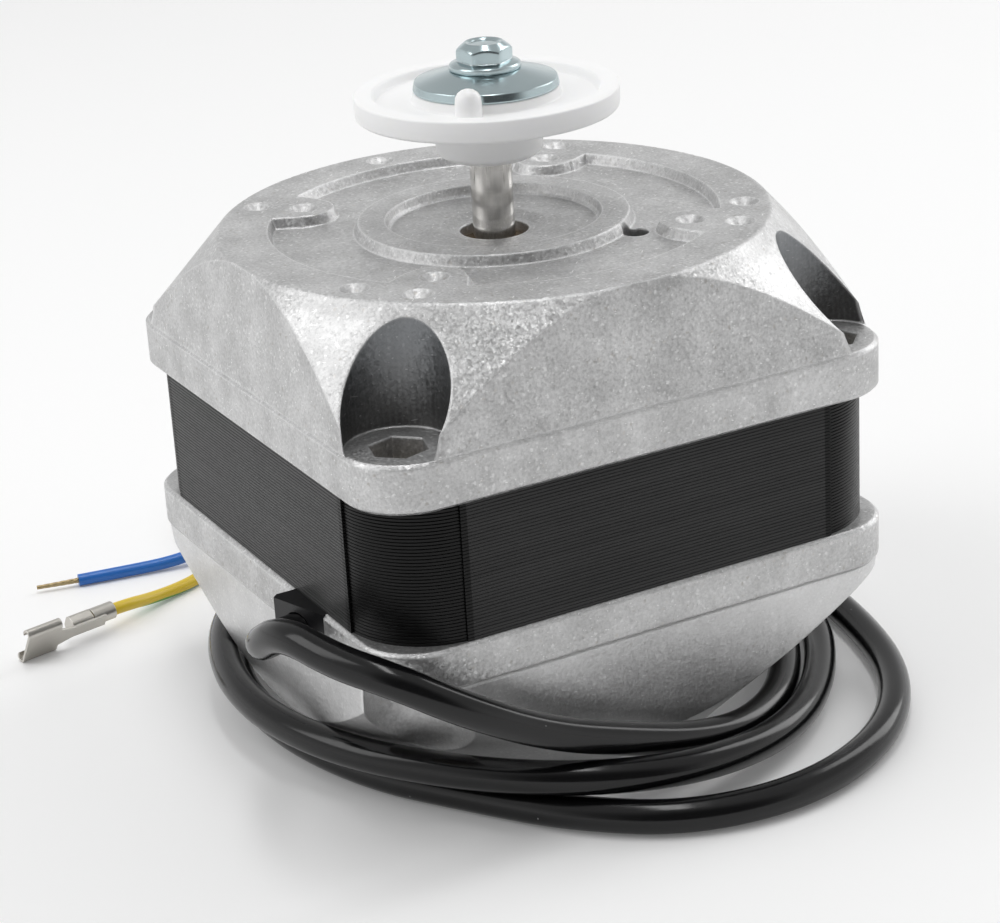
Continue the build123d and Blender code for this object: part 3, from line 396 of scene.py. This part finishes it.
def makeLamination(look):
    # each sheet has its own tone; the rounded corners are painted darker, as painted shade
    material, tree, shader = newMaterial("laminationSteel")
    place = objectPlace(tree)
    split = put(tree, "SeparateXYZ", {0: place}).outputs
    layer = calc(tree, "FLOOR", calc(tree, "DIVIDE", split[2], look["pitch"] * mm))
    tone = put(tree, "TexWhiteNoise", {"W": layer}, noise_dimensions="1D").outputs["Value"]
    fine = noise(tree, place, look["fine"]).outputs["Fac"]
    cloud = noise(tree, place, look["cloud"], detail=3.0).outputs["Fac"]
    cloud = calc(tree, "MULTIPLY", cloud, look["cloudShare"])
    share = calc(tree, "MULTIPLY_ADD", tone, look["sheetShare"], cloud)
    base = mixColour(tree, share, look["base"], look["sheen"])
    # painted shade: the rounded corners get the darker corner tone
    nearest = calc(tree, "MINIMUM", calc(tree, "ABSOLUTE", split[0]), calc(tree, "ABSOLUTE", split[1]))
    corner = calc(tree, "GREATER_THAN", nearest, look["cornerStart"] * mm)
    base = mixColour(tree, corner, base, look["corner"])
    rough = unevenRoughness(tree, fine, look)
    bump = skinBump(tree, fine, look)
    tree.links.new(base, shader.inputs["Base Color"])
    tree.links.new(rough, shader.inputs["Roughness"])
    tree.links.new(bump, shader.inputs["Normal"])
    shader.inputs["Specular IOR Level"].default_value = look["shine"]
    return material


# plated, turned and sintered metals: spread is how far the tone wanders, wear how bright the edges are
# painted (rubbed wear and painted highlight);
# what a look leaves out is as in metalBase
metalBase = {
    "spread": 0.20, "grain": 700.0, "wearAndHighlight": 0.0, "edgeWidth": 0.2, "breakup": 0.5, "bright": grey(0.9),
    "bump": 0.5, "depth": 0.01, "uneven": 0.16,
}
metalLooks = {
    "zincSteel": {"colour": (0.46, 0.55, 0.57), "roughness": 0.20, "wearAndHighlight": 0.5, "spread": 0.08, "grain": 500},
    "nutSteel": {"colour": (0.34, 0.31, 0.27), "roughness": 0.45, "wearAndHighlight": 0.3, "spread": 0.25, "grain": 400},
    "tinPlate": {"colour": (0.56, 0.54, 0.50), "roughness": 0.36, "wearAndHighlight": 0.3, "spread": 0.10, "grain": 500},
    "rotorSteel": {"colour": (0.34, 0.33, 0.32), "roughness": 0.42, "wearAndHighlight": 0.3},
    "bareCopper": {"colour": (0.46, 0.36, 0.20), "roughness": 0.34},
    "coilCopper": {"colour": (0.55, 0.23, 0.09), "roughness": 0.35},
    "bearingBronze": {"colour": (0.16, 0.11, 0.06), "roughness": 0.45},
}


def tones(colour, spread):
    # the colour a little darker and a little lighter
    darker = tuple(part * (1 - spread) for part in colour) + (1.0,)
    lighter = tuple(min(1.0, part * (1 + spread)) for part in colour) + (1.0,)
    return darker, lighter


def makeMetal(name, look):
    # the tone wanders a little, and the edges may be painted brighter: rubbed wear and painted highlight
    material, tree, shader = newMaterial(name)
    place = objectPlace(tree)
    cloud = noise(tree, place, look["grain"] / 4).outputs["Fac"]
    fine = noise(tree, place, look["grain"] * 2, detail=3.0).outputs["Fac"]
    base = mixColour(tree, cloud, *tones(look["colour"], look["spread"]))
    edge = useGroup(tree, edgeWearAndHighlight, Width=look["edgeWidth"], Breakup=look["breakup"])
    # painted brighter edges: part rubbed wear, part painted highlight
    if look["wearAndHighlight"]:
        base = mixColour(tree, calc(tree, "MULTIPLY", edge["Mask"], look["wearAndHighlight"]), base, look["bright"])
    rough = unevenRoughness(tree, fine, look)
    bump = skinBump(tree, fine, look, Normal=edge["Normal"])
    tree.links.new(base, shader.inputs["Base Color"])
    tree.links.new(rough, shader.inputs["Roughness"])
    tree.links.new(bump, shader.inputs["Normal"])
    shader.inputs["Metallic"].default_value = 1.0
    return material


shaftLook = {
    "light": (0.82, 0.80, 0.77, 1.0), "dark": (0.697, 0.680, 0.6545, 1.0), "roughness": 0.11, "uneven": 0.12,
    "rings": (300.0, 300.0, 9000.0), "bump": 0.35, "depth": 0.008,
}


def makeTurned(look):
    # a ground shaft: fine rings round it, from waves along the axis
    material, tree, shader = newMaterial("shaftSteel")
    long = put(tree, "Mapping", {"Vector": objectPlace(tree), "Scale": look["rings"]}).outputs[0]
    rings = noise(tree, long, 1.0, detail=3.0).outputs["Fac"]
    base = mixColour(tree, rings, look["dark"], look["light"])
    rough = unevenRoughness(tree, rings, look)
    bump = skinBump(tree, rings, look)
    tree.links.new(base, shader.inputs["Base Color"])
    tree.links.new(rough, shader.inputs["Roughness"])
    tree.links.new(bump, shader.inputs["Normal"])
    shader.inputs["Metallic"].default_value = 1.0
    return material


# moulded plastic, rubber and felt; what a look leaves out is as in plasticBase
plasticBase = {
    "spread": 0.12, "grain": 500.0, "glow": 0.0, "specks": 0.0, "shine": 0.5,
    "bump": 0.4, "depth": 0.02, "uneven": 0.16,
}
plasticLooks = {
    "hubPlastic": {"colour": (0.96, 0.96, 0.96), "roughness": 0.34, "spread": 0.015, "depth": 0.006,
                   "glow": 0.35},
    "cordRubber": {"colour": (0.0030, 0.0030, 0.0034), "roughness": 0.17, "spread": 0.3, "depth": 0.010,
                   "specks": 0.5, "shine": 0.42},
    "grommetRubber": {"colour": (0.008, 0.008, 0.009), "roughness": 0.32, "spread": 0.3},
    "blueInsulation": {"colour": (0.018, 0.150, 0.54), "roughness": 0.32},
    "brownInsulation": {"colour": (0.11, 0.045, 0.020), "roughness": 0.40},
    "bobbinPlastic": {"colour": (0.70, 0.68, 0.60), "roughness": 0.45},
    "oilFelt": {"colour": (0.42, 0.38, 0.30), "roughness": 0.90, "spread": 0.2, "depth": 0.1,
                "grain": 1400.0},
}
dustSet = {"cells": 260.0, "size": 0.035, "tone": grey(0.5)}
glowRadius = (1.2 * mm, 1.2 * mm, 1.3 * mm)


def makePlastic(name, look, dust):
    # faint clouds, a fine skin, and dust specks where it is black
    material, tree, shader = newMaterial(name)
    place = objectPlace(tree)
    cloud = noise(tree, place, look["grain"] / 8, detail=3.0).outputs["Fac"]
    fine = noise(tree, place, look["grain"] * 2).outputs["Fac"]
    base = mixColour(tree, cloud, *tones(look["colour"], look["spread"]))
    if look["specks"]:
        cells = put(tree, "TexVoronoi", {"Vector": place, "Scale": dust["cells"]}).outputs
        picked = put(tree, "SeparateColor", {"Color": cells["Color"]}).outputs[0]
        dot = calc(tree, "LESS_THAN", cells["Distance"], calc(tree, "MULTIPLY", picked, dust["size"]))
        base = mixColour(tree, calc(tree, "MULTIPLY", dot, look["specks"]), base, dust["tone"])
    rough = unevenRoughness(tree, fine, look)
    bump = skinBump(tree, fine, look)
    tree.links.new(base, shader.inputs["Base Color"])
    tree.links.new(rough, shader.inputs["Roughness"])
    tree.links.new(bump, shader.inputs["Normal"])
    shader.inputs["Specular IOR Level"].default_value = look["shine"]
    shader.inputs["Subsurface Weight"].default_value = look["glow"]
    shader.inputs["Subsurface Radius"].default_value = glowRadius
    shader.inputs["Subsurface Scale"].default_value = 1.0
    return material


# yellow-green earth core: along and across are in radians per metre, and the stripe comes round in 30 mm
earthLook = {
    "yellow": (0.74, 0.53, 0.03, 1.0), "green": (0.12, 0.34, 0.04, 1.0), "roughness": 0.38,
    "heading": 0.35, "along": 210.0, "across": 1500.0, "edge": 0.35,
    "fine": 900.0, "bump": 0.3, "depth": 0.02,
}


def makeEarthInsulation(look):
    # the stripe is green where sin(along x + across z) is over the edge, x along the core
    material, tree, shader = newMaterial("earthInsulation")
    place = objectPlace(tree)
    laid = put(tree, "Mapping", {"Vector": place, "Rotation": (0.0, 0.0, look["heading"])}).outputs[0]
    split = put(tree, "SeparateXYZ", {0: laid}).outputs
    along = calc(tree, "MULTIPLY", split[0], look["along"])
    side = calc(tree, "MULTIPLY", split[2], look["across"])
    stripe = calc(tree, "GREATER_THAN", calc(tree, "SINE", calc(tree, "ADD", along, side)), look["edge"])
    base = mixColour(tree, stripe, look["yellow"], look["green"])
    fine = noise(tree, place, look["fine"], detail=3.0).outputs["Fac"]
    bump = skinBump(tree, fine, look)
    tree.links.new(base, shader.inputs["Base Color"])
    tree.links.new(bump, shader.inputs["Normal"])
    shader.inputs["Roughness"].default_value = look["roughness"]
    return material


metals = {name: makeMetal(name, {**metalBase, **look}) for name, look in metalLooks.items()}
plastics = {name: makePlastic(name, {**plasticBase, **look}, dustSet) for name, look in plasticLooks.items()}
slotLooks = {
    "cast_aluminium": makeCasting(castingLook, pocketLook),
    "lamination_steel": makeLamination(laminationLook),
    "shaft_steel": makeTurned(shaftLook),
    "earth_insulation": makeEarthInsulation(earthLook),
    "zinc_steel": metals["zincSteel"], "bare_copper": metals["bareCopper"],
    "tin_plate": metals["tinPlate"], "coil_copper": metals["coilCopper"],
    "bronze": metals["bearingBronze"], "rotor_steel": metals["rotorSteel"],
    "hub_plastic": plastics["hubPlastic"], "bobbin_plastic": plastics["bobbinPlastic"],
    "cord_rubber": plastics["cordRubber"], "grommet_rubber": plastics["grommetRubber"],
    "blue_insulation": plastics["blueInsulation"], "brown_insulation": plastics["brownInsulation"],
    "felt": plastics["oilFelt"],
}
print("materials made")


def addPiece(name, data, body, node, slotName, smoothAngle=32, steady=False):
    # the piece takes the place of a CAD node; steady keeps large faces flat, so only the rounded edges turn
    item = bpy.data.objects.new(name, data)
    scene.collection.objects.link(item)
    if item.type == "MESH":
        data.shade_smooth()
        data.set_sharp_from_angle(angle=math.radians(smoothAngle))
    if steady:
        item.modifiers.new("steadyNormals", "WEIGHTED_NORMAL").keep_sharp = True
    data.materials.append(slotLooks[slotName])
    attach(item, body)
    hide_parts(node)
    return item


# cords, in millimetres; the routes are the part's own, some points moved to follow the photograph
supplyCordSet = {
    "radius": 2.5,
    "route": [
        (-36.5, -17.6, 26.7), (-46.6, -17.6, 26.7), (-51.9, -18.0, 26.0), (-52.0, -28.4, 32.6),
        (-48.6, -38.0, 30.8), (-43.4, -45.6, 29.4), (-35.2, -49.2, 24.2), (-22.4, -48.6, 16.4),
        (-9.2, -47.6, 11.0), (3.6, -46.2, 6.4), (16.2, -42.2, 3.4), (28.6, -33.2, 2.6),
        (40.6, -15.0, 2.55), (42.6, 7.4, 2.5), (33.2, 28.0, 2.5), (14.9, 41.4, 3.0),
        (-7.6, 44.8, 5.6), (-28.4, 39.4, 8.0), (-41.6, 23.6, 8.0), (-47.4, 1.6, 8.0),
        (-43.4, -19.8, 8.0), (-31.6, -37.6, 8.0), (-16.6, -50.4, 8.0), (1.5, -54.0, 6.4),
        (19.8, -47.6, 4.0), (35.2, -33.6, 2.6), (46.4, -15.6, 2.5), (48.7, 8.0, 2.55),
        (37.9, 31.8, 2.5), (17.4, 46.8, 2.55), (-8.6, 50.2, 2.5), (-29.4, 41.4, 2.5),
        (-41.2, 20.6, 2.55), (-42.6, -1.4, 2.5), (-37.4, -21.6, 2.55), (-28.0, -35.8, 2.5),
        (-19.6, -48.0, 2.55), (-6.0, -59.4, 2.5), (13.2, -62.2, 2.55), (31.4, -55.0, 2.5),
        (44.2, -40.8, 2.55), (50.8, -21.4, 2.5), (53.2, -0.6, 2.55), (50.8, 20.6, 2.5),
        (41.8, 39.4, 2.55), (26.0, 54.0, 2.5), (6.4, 63.8, 2.55), (-13.6, 67.4, 2.5),
    ],
}
coreSet = {
    "radius": 1.05,
    "blue": [(-13.6, 67.4, 3.7), (-18.5, 68.28, 3.69), (-24.0, 69.1, 2.5), (-30.5, 69.8, 1.3),
             (-38.4, 71.2, 1.1), (-47.2, 72.7, 1.1)],
    "earth": [(-13.8, 66.3, 1.85), (-19.7, 67.36, 1.83), (-26.2, 62.8, 1.2), (-32.4, 59.5, 1.1),
              (-39.4, 57.2, 1.5), (-46.3, 52.97, 3.651), (-52.964, 51.555, 3.651)],
    "brown": [(-13.4, 68.5, 1.85), (-20.05, 69.7, 1.83), (-23.6, 76.3, 1.3), (-21.4, 84.2, 1.1),
              (-17.0, 91.4, 1.1), (-14.0, 98.8, 1.1)],
}
strandSet = {
    "count": 7, "radius": 0.17, "lay": 8.0, "spread": 0.30, "tip": 0.6, "ring": 10,
    "blue": [(-47.2, 72.7, 1.1), (-50.75, 73.3, 1.1), (-54.3, 74.3, 1.0)],
    "brown": [(-14.0, 98.8, 1.1), (-12.69, 102.04, 1.1), (-11.2, 105.2, 1.0)],
}


def cordCurve(name, route, radius):
    # one smooth spline steered by the route's points, with a round section
    data = bpy.data.curves.new(name, "CURVE")
    data.dimensions = "3D"
    data.bevel_depth = radius * mm
    data.bevel_resolution = 7
    data.use_fill_caps = True
    spline = data.splines.new("NURBS")
    spline.points.add(len(route) - 1)
    for point, place in zip(spline.points, route):
        point.co = (place[0] * mm, place[1] * mm, place[2] * mm, 1.0)
    spline.order_u = 3
    spline.use_endpoint_u = True
    data.resolution_u = 9
    spline.resolution_u = 9
    spline.use_smooth = True
    return data


def splineLine(route):
    # the points of the route's smooth line, read back from a curve without a section
    data = cordCurve("lineGuide", route, 0.0)
    item = bpy.data.objects.new("lineGuide", data)
    scene.collection.objects.link(item)
    bpy.context.view_layer.update()
    found = item.evaluated_get(bpy.context.evaluated_depsgraph_get())
    mesh = bpy.data.meshes.new_from_object(found)
    line = np.zeros(len(mesh.vertices) * 3)
    mesh.vertices.foreach_get("co", line)
    bpy.data.objects.remove(item)
    bpy.data.meshes.remove(mesh)
    return line.reshape(-1, 3) / mm


def strandBundle(name, route, values):
    # each strand winds round the line: centre + spread (cos t side + sin t up), t grows with length
    line = splineLine(route)
    step = np.gradient(line, axis=0)
    step /= np.linalg.norm(step, axis=1, keepdims=True)
    side = np.cross(step, (0.0, 0.0, 1.0))
    side /= np.linalg.norm(side, axis=1, keepdims=True)
    up = np.cross(side, step)
    run = np.concatenate([[0], np.cumsum(np.linalg.norm(np.diff(line, axis=0), axis=1))])
    ring = np.linspace(0, 2 * np.pi, values["ring"], endpoint=False)
    section = np.cos(ring)[None, :, None] * side[:, None] + np.sin(ring)[None, :, None] * up[:, None]
    narrowing = 1 - (1 - values["tip"]) * run / run[-1]
    grids = []
    for number in range(values["count"]):
        reach = (number > 0) * values["spread"] * narrowing
        turn = 2 * np.pi * (number / (values["count"] - 1) + run / values["lay"])
        middle = line + reach[:, None] * (np.cos(turn)[:, None] * side + np.sin(turn)[:, None] * up)
        wall = middle[:, None] + values["radius"] * section
        ends = middle[[0, -1], None].repeat(values["ring"], 1)
        grids.append(np.concatenate([ends[:1], wall, ends[1:]]))
    return gridMesh(name, *grids)


supplyCord = addPiece(
    "supplyCord", cordCurve("supplyCord", supplyCordSet["route"], supplyCordSet["radius"]), "housing",
    "supply_cord", "cord_rubber")
blueCore = addPiece(
    "blueCore", cordCurve("blueCore", coreSet["blue"], coreSet["radius"]), "housing",
    "blue_core", "blue_insulation")
earthCore = addPiece(
    "earthCore", cordCurve("earthCore", coreSet["earth"], coreSet["radius"]), "housing",
    "earth_core", "earth_insulation")
brownCore = addPiece(
    "brownCore", cordCurve("brownCore", coreSet["brown"], coreSet["radius"]), "housing",
    "brown_core", "brown_insulation")
blueStrands = addPiece(
    "blueStrands", strandBundle("blueStrands", strandSet["blue"], strandSet), "housing",
    "blue_conductor", "bare_copper", smoothAngle=60)
brownStrands = addPiece(
    "brownStrands", strandBundle("brownStrands", strandSet["brown"], strandSet), "housing",
    "brown_conductor", "bare_copper", smoothAngle=60)
print("cords laid")


# stator stack, in millimetres; land is the share of a sheet that stands proud, the rest is its groove
stackSet = {
    "half": 42.2, "corner": 12.7, "outlineMargin": 0.08, "footMargin": 0.01, "upright": 0.5,
    "layers": 41, "groove": 0.13, "land": 0.64, "weld": 1e-5,
}


def outlineNormals(rim):
    # for each point of a closed outline, the mean of the outward directions of the two runs beside it
    run = np.roll(rim, -1, axis=0) - rim
    out = np.stack([run[:, 1], -run[:, 0]], axis=1)
    out /= np.linalg.norm(out, axis=1, keepdims=True)
    out = out + np.roll(out, 1, axis=0)
    return out / np.linalg.norm(out, axis=1, keepdims=True)


def ridgedStack(values):
    # the CAD stack keeps its poles and window; its outer wall becomes one ridge for each sheet:
    # wall(level) = outline - groove in the joint between two sheets, outline on the sheet's edge
    source = cadNodes["stator_stack"].data
    points = np.zeros(len(source.vertices) * 3)
    source.vertices.foreach_get("co", points)
    points = points.reshape(-1, 3) / mm
    source.calc_loop_triangles()
    triangles = np.zeros(len(source.loop_triangles) * 3, np.int64)
    source.loop_triangles.foreach_get("vertices", triangles)
    triangles = triangles.reshape(-1, 3)
    reach = np.maximum(np.abs(points[:, :2]) - (values["half"] - values["corner"]), 0)
    outside = np.linalg.norm(reach, axis=1) > values["corner"] - values["outlineMargin"]
    low, high = points[:, 2].min(), points[:, 2].max()
    corners = points[triangles]
    normal = np.cross(corners[:, 1] - corners[:, 0], corners[:, 2] - corners[:, 0])
    normal /= np.linalg.norm(normal, axis=1, keepdims=True)
    wall = outside[triangles].all(axis=1) & (np.abs(normal[:, 2]) < values["upright"])
    rim = points[outside & (points[:, 2] < low + values["footMargin"]), :2]
    rim = np.unique(rim.round(4), axis=0)
    rim = rim[np.argsort(np.arctan2(rim[:, 1], rim[:, 0]))]
    pitch = (high - low) / values["layers"]
    edge = (1 - values["land"]) / 2 * pitch
    starts = low + pitch * np.arange(values["layers"])
    heights = np.stack([starts, starts + edge, starts + pitch - edge], axis=1).reshape(-1)
    depths = np.tile([values["groove"], 0.0, 0.0], values["layers"])
    heights = np.append(heights, high)
    depths = np.append(depths, 0.0)
    depths[0] = 0.0
    band = rim[None] - depths[:, None, None] * outlineNormals(rim)[None]
    band = np.concatenate([band, np.broadcast_to(heights[:, None, None], band.shape[:2] + (1,))], axis=2)
    faces = triangles[~wall].tolist() + ringFaces(*band.shape[:2], len(points))
    print("stack outline points", len(rim), "outer wall triangles", int(wall.sum()))
    return facesMesh("statorStack", np.concatenate([points, band.reshape(-1, 3)]), faces, weld=values["weld"])


statorStack = addPiece(
    "statorStack", ridgedStack(stackSet), "housing", "stator_stack", "lamination_steel", smoothAngle=22)
print("stack built")


# fan hub, in millimetres; rises are over its lowest level
hubSet = {
    "bore": 3.2, "boreRise": 1.0, "innerBore": 2.95, "footRadius": 6.5, "footRise": 0.6,
    # the collar's corners: radius, rise and rounding
    "collar": ((7.75, 1.3, 0.9), (8.2, 4.0, 2.0), (8.7, 6.4, 0.5), (11.2, 7.2, 0.8)),
    "discLow": 7.4, "discMiddle": 9.0, "discTop": 10.7, "discLean": 0.1,
    "recessOuter": 16.8, "recessInner": 10.75, "recessRise": 9.4, "recessLean": (0.4, 0.3), "bossRise": 10.8,
    "pegRadius": 1.95, "pegCircle": 13.0, "pegAngle": -130.0, "pegRise": 13.8,
    # the peg's dome: drops from its top, and the share of the radius at each
    "pegDrop": (4.6, 4.6, 2.2, 1.2, 0.6, 0.2, 0.02, 0.0),
    "pegShare": (0.0, 1.0, 1.0, 0.93, 0.76, 0.48, 0.2, 0.0),
    "steps": 144, "pegSteps": 40, "arcSteps": 7,
}


def hubProfile(values, disc):
    # foot of the bore, collar, underside, rounded rim, ring recess, boss, and back down the bore
    lean = values["recessLean"]
    return [
        (values["bore"], values["boreRise"], 0.0), (values["bore"], values["footRise"], 0.1),
        (values["footRadius"], values["footRise"], 0.25), *values["collar"],
        (disc - values["discLean"], values["discLow"], 0.55), (disc, values["discMiddle"], 0.5),
        (disc, values["discTop"], 0.28), (values["recessOuter"], values["discTop"], 0.4),
        (values["recessOuter"] - lean[0], values["recessRise"], 0.35),
        (values["recessInner"] + lean[1], values["recessRise"], 0.35),
        (values["recessInner"], values["bossRise"], 0.2), (values["innerBore"], values["bossRise"], 0.1),
        (values["innerBore"], values["boreRise"], 0.05), (values["bore"], values["boreRise"], 0.0),
    ]


def makeHub(values):
    # the turned body, and a peg whose radius falls to nothing over its domed end
    low, high = nodeSpan("fan_hub")
    profile = np.array(hubProfile(values, high[0])) + (0.0, low[2], 0.0)
    height = low[2] + values["pegRise"] - np.array(values["pegDrop"])
    radius = values["pegRadius"] * np.array(values["pegShare"])
    peg = turnedGrid(np.stack([radius, height], axis=1), values["pegSteps"])
    angle = math.radians(values["pegAngle"])
    peg += (values["pegCircle"] * math.cos(angle), values["pegCircle"] * math.sin(angle), 0.0)
    body = turnedGrid(roundedProfile(profile, values["arcSteps"]), values["steps"])
    return gridMesh("fanHub", body, peg)


fanHub = addPiece("fanHub", makeHub(hubSet), "rotor", "fan_hub", "hub_plastic", smoothAngle=40, steady=True)


# washer, in millimetres; drops are under its seat for the screw
washerSet = {
    "hole": 2.2, "seat": 5.4, "thickness": 1.0, "radius": 10.55, "skirt": 10.85,
    "drop": 2.8, "edgeDrop": 1.45, "hollow": 0.9,
}


def makeWasher(values):
    # a dished plate with a short skirt at its rim: its profile turned about the shaft axis
    top = nodeSpan("hub_washer")[1][2]
    low = top - values["drop"]
    profile = [
        (values["hole"], top - values["thickness"], 0.0), (values["seat"], top - values["thickness"], 0.8),
        (values["radius"] - values["hollow"], low, 0.1), (values["skirt"], low, 0.25),
        (values["radius"], top - values["edgeDrop"], 0.22), (values["seat"], top, 1.2),
        (values["hole"], top, 0.1), (values["hole"], top - values["thickness"], 0.0),
    ]
    return gridMesh("hubWasher", turnedGrid(roundedProfile(profile)))


hubWasher = addPiece("hubWasher", makeWasher(washerSet), "rotor", "hub_washer", "zinc_steel", steady=True)


# flange screw, in millimetres and degrees
screwSet = {
    "shank": 2.0, "length": 9.0, "flange": 5.3, "flangeHeight": 1.3, "across": 7.4, "faceAngle": -116.0,
    "chamfer": 38.0, "crown": 2.8, "cornerReach": 1.14, "cornerBlend": 24, "chamferBlend": 34,
    # the flange's edge: how far inside its radius, at each rise over the seat
    "flangeInset": (0.2, 0.04, 0.0, 0.04, 0.2, 0.5, 0.85),
    "flangeRise": (0.0, 0.12, 0.3, 0.72, 0.92, 1.04, 1.16),
    # the dish in the top: share of the head's outline, at each drop from the top
    "crownShare": (0.97, 0.9, 0.8, 0.72, 0.4, 0.0),
    "crownDrop": (0.0, 0.0, 0.1, 0.3, 0.25, 0.25),
    "steps": 180, "headSteps": 26, "firstStep": 0.18,
}


def softLeast(first, second, power):
    # the smaller of two radii, with a soft passage between them: (first^-p + second^-p)^(-1/p)
    return 1 / (1 / first ** power + 1 / second ** power) ** (1 / power)


def makeHubScrew(values):
    # radius of the head: the least of the hexagon, its blunt corners and the chamfer cone, at each angle
    seat, top = nodeSpan("hub_washer")[1][2], nodeSpan("hub_screw")[1][2]
    angle = np.linspace(0, 2 * np.pi, values["steps"], endpoint=False)
    facing = angle - math.radians(values["faceAngle"])
    folded = (facing + np.pi / 6) % (np.pi / 3) - np.pi / 6
    half = values["across"] / 2
    hexagon = softLeast(half / np.cos(folded), half * values["cornerReach"], values["cornerBlend"])
    foot = seat - values["length"]
    inset, flangeRise = np.array(values["flangeInset"]), np.array(values["flangeRise"])
    flange = np.stack([values["flange"] - inset, seat + flangeRise], axis=1)
    below = np.concatenate([[(0.0, foot), (values["shank"], foot), (values["shank"], seat)], flange])
    below = np.stack([below[:, :1] + 0 * angle, below[:, 1:] + 0 * angle], axis=-1)
    headFoot = seat + values["flangeHeight"]
    climb = np.concatenate([[0.0], np.linspace(values["firstStep"], 1.0, values["headSteps"])])
    rise = headFoot + climb[:, None] * (top - headFoot)
    cone = values["crown"] + (top - rise) / math.tan(math.radians(values["chamfer"]))
    side = softLeast(hexagon[None], cone, values["chamferBlend"])
    head = np.stack([side, rise + 0 * side], axis=-1)
    share, drop = np.array(values["crownShare"]), np.array(values["crownDrop"])
    crown = np.stack([share[:, None] * side[-1], (top - drop)[:, None] + 0 * side[-1]], axis=-1)
    outline = np.concatenate([below, head, crown])
    radius, height = outline[..., 0], outline[..., 1]
    return gridMesh("hubScrew", np.stack([radius * np.cos(angle), radius * np.sin(angle), height], axis=-1))


hubScrew = addPiece("hubScrew", makeHubScrew(screwSet), "rotor", "hub_screw", "zinc_steel", smoothAngle=28)
print("hub, washer and screw built")


# materials of the CAD nodes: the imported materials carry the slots' names
cornerFasteners = ("screw_nuts", "through_screws", "corner_screws")
for name, item in cadNodes.items():
    for place in item.material_slots:
        slotName = place.material.name.split(".")[0]
        place.material = metals["nutSteel"] if name in cornerFasteners else slotLooks[slotName]
print("CAD nodes dressed")


# floor, lamps and a light tent, in metres and watts
stageSet = {"size": 6.0, "floor": grey(0.89), "roughness": 0.6, "glow": 0.09}
lampSet = {
    "leftBox": {"from": (-0.80, 0.25, 0.80), "size": (0.6, 0.7), "power": 3.0},
    "rightBox": {"from": (0.95, 0.10, 0.60), "size": (0.4, 0.8), "power": 2.7},
    "roofStrip": {"from": (0.05, -0.02, 1.15), "size": (0.9, 0.18), "power": 3.2},
}
lampAim = (0.0, 0.0, 0.05)
worldSet = {
    "steps": ((0.0, 0.95), (0.20, 0.90), (0.42, 0.62), (1.0, 0.56)),   # height of the heading, and its tone
    "openSide": (-0.25, -0.94, 0.23), "openFrom": 0.55, "openTo": 0.92, "openTone": grey(0.10),
    "strength": 1.0,
}


def makeFloor(values):
    # pale paper, a little lighter where the camera or a reflection sees it
    half = values["size"] / 2
    data = bpy.data.meshes.new("floor")
    corners = [(-half, -half, 0), (half, -half, 0), (half, half, 0), (-half, half, 0)]
    data.from_pydata(corners, [], [(0, 1, 2, 3)])
    item = bpy.data.objects.new("floor", data)
    scene.collection.objects.link(item)
    material, tree, shader = newMaterial("floorPaper")
    shader.inputs["Base Color"].default_value = values["floor"]
    shader.inputs["Roughness"].default_value = values["roughness"]
    path = put(tree, "LightPath").outputs
    seen = calc(tree, "MAXIMUM", path["Is Camera Ray"], calc(
        tree, "MAXIMUM", path["Is Glossy Ray"], path["Is Transmission Ray"]))
    strength = calc(tree, "MULTIPLY", seen, values["glow"])
    glow = put(tree, "Emission", {"Color": grey(1.0), "Strength": strength})
    both = put(tree, "AddShader", {0: shader.outputs[0], 1: glow.outputs[0]})
    tree.links.new(both.outputs[0], tree.nodes["Material Output"].inputs["Surface"])
    data.materials.append(material)


def makeLamps(lamps, aim):
    for name, lamp in lamps.items():
        data = bpy.data.lights.new(name, "AREA")
        data.shape = "RECTANGLE"
        data.size, data.size_y = lamp["size"]
        data.energy = lamp["power"]
        item = bpy.data.objects.new(name, data)
        scene.collection.objects.link(item)
        item.location = lamp["from"]
        item.rotation_mode = "QUATERNION"
        item.rotation_quaternion = (Vector(lamp["from"]) - Vector(aim)).to_track_quat("Z", "Y")


def makeWorld(values):
    # a light tent: pale walls, a greyer roof, and one darker open side in front
    world = bpy.data.worlds.new("studio")
    scene.world = world
    world.use_nodes = True
    tree = world.node_tree
    back = tree.nodes["Background"]
    heading = put(tree, "TexCoord").outputs["Generated"]
    height = put(tree, "SeparateXYZ", {0: heading}).outputs[2]
    ramp = put(tree, "ValToRGB", {0: height})
    marks = ramp.color_ramp.elements
    for number, (spot, level) in enumerate(values["steps"]):
        mark = marks[number] if number < 2 else marks.new(spot)
        mark.position, mark.color = spot, grey(level)
    side = Vector(values["openSide"]).normalized()
    facing = put(tree, "VectorMath", {0: heading, 1: side}, operation="DOT_PRODUCT").outputs["Value"]
    share = put(tree, "MapRange", {"Value": facing, 1: values["openFrom"], 2: values["openTo"]},
                interpolation_type="SMOOTHSTEP").outputs[0]
    tree.links.new(mixColour(tree, share, ramp.outputs[0], values["openTone"]), back.inputs["Color"])
    back.inputs["Strength"].default_value = values["strength"]


makeFloor(stageSet)
makeLamps(lampSet, lampAim)
makeWorld(worldSet)
scene.view_settings.view_transform = "Standard"
print("stage and light set")
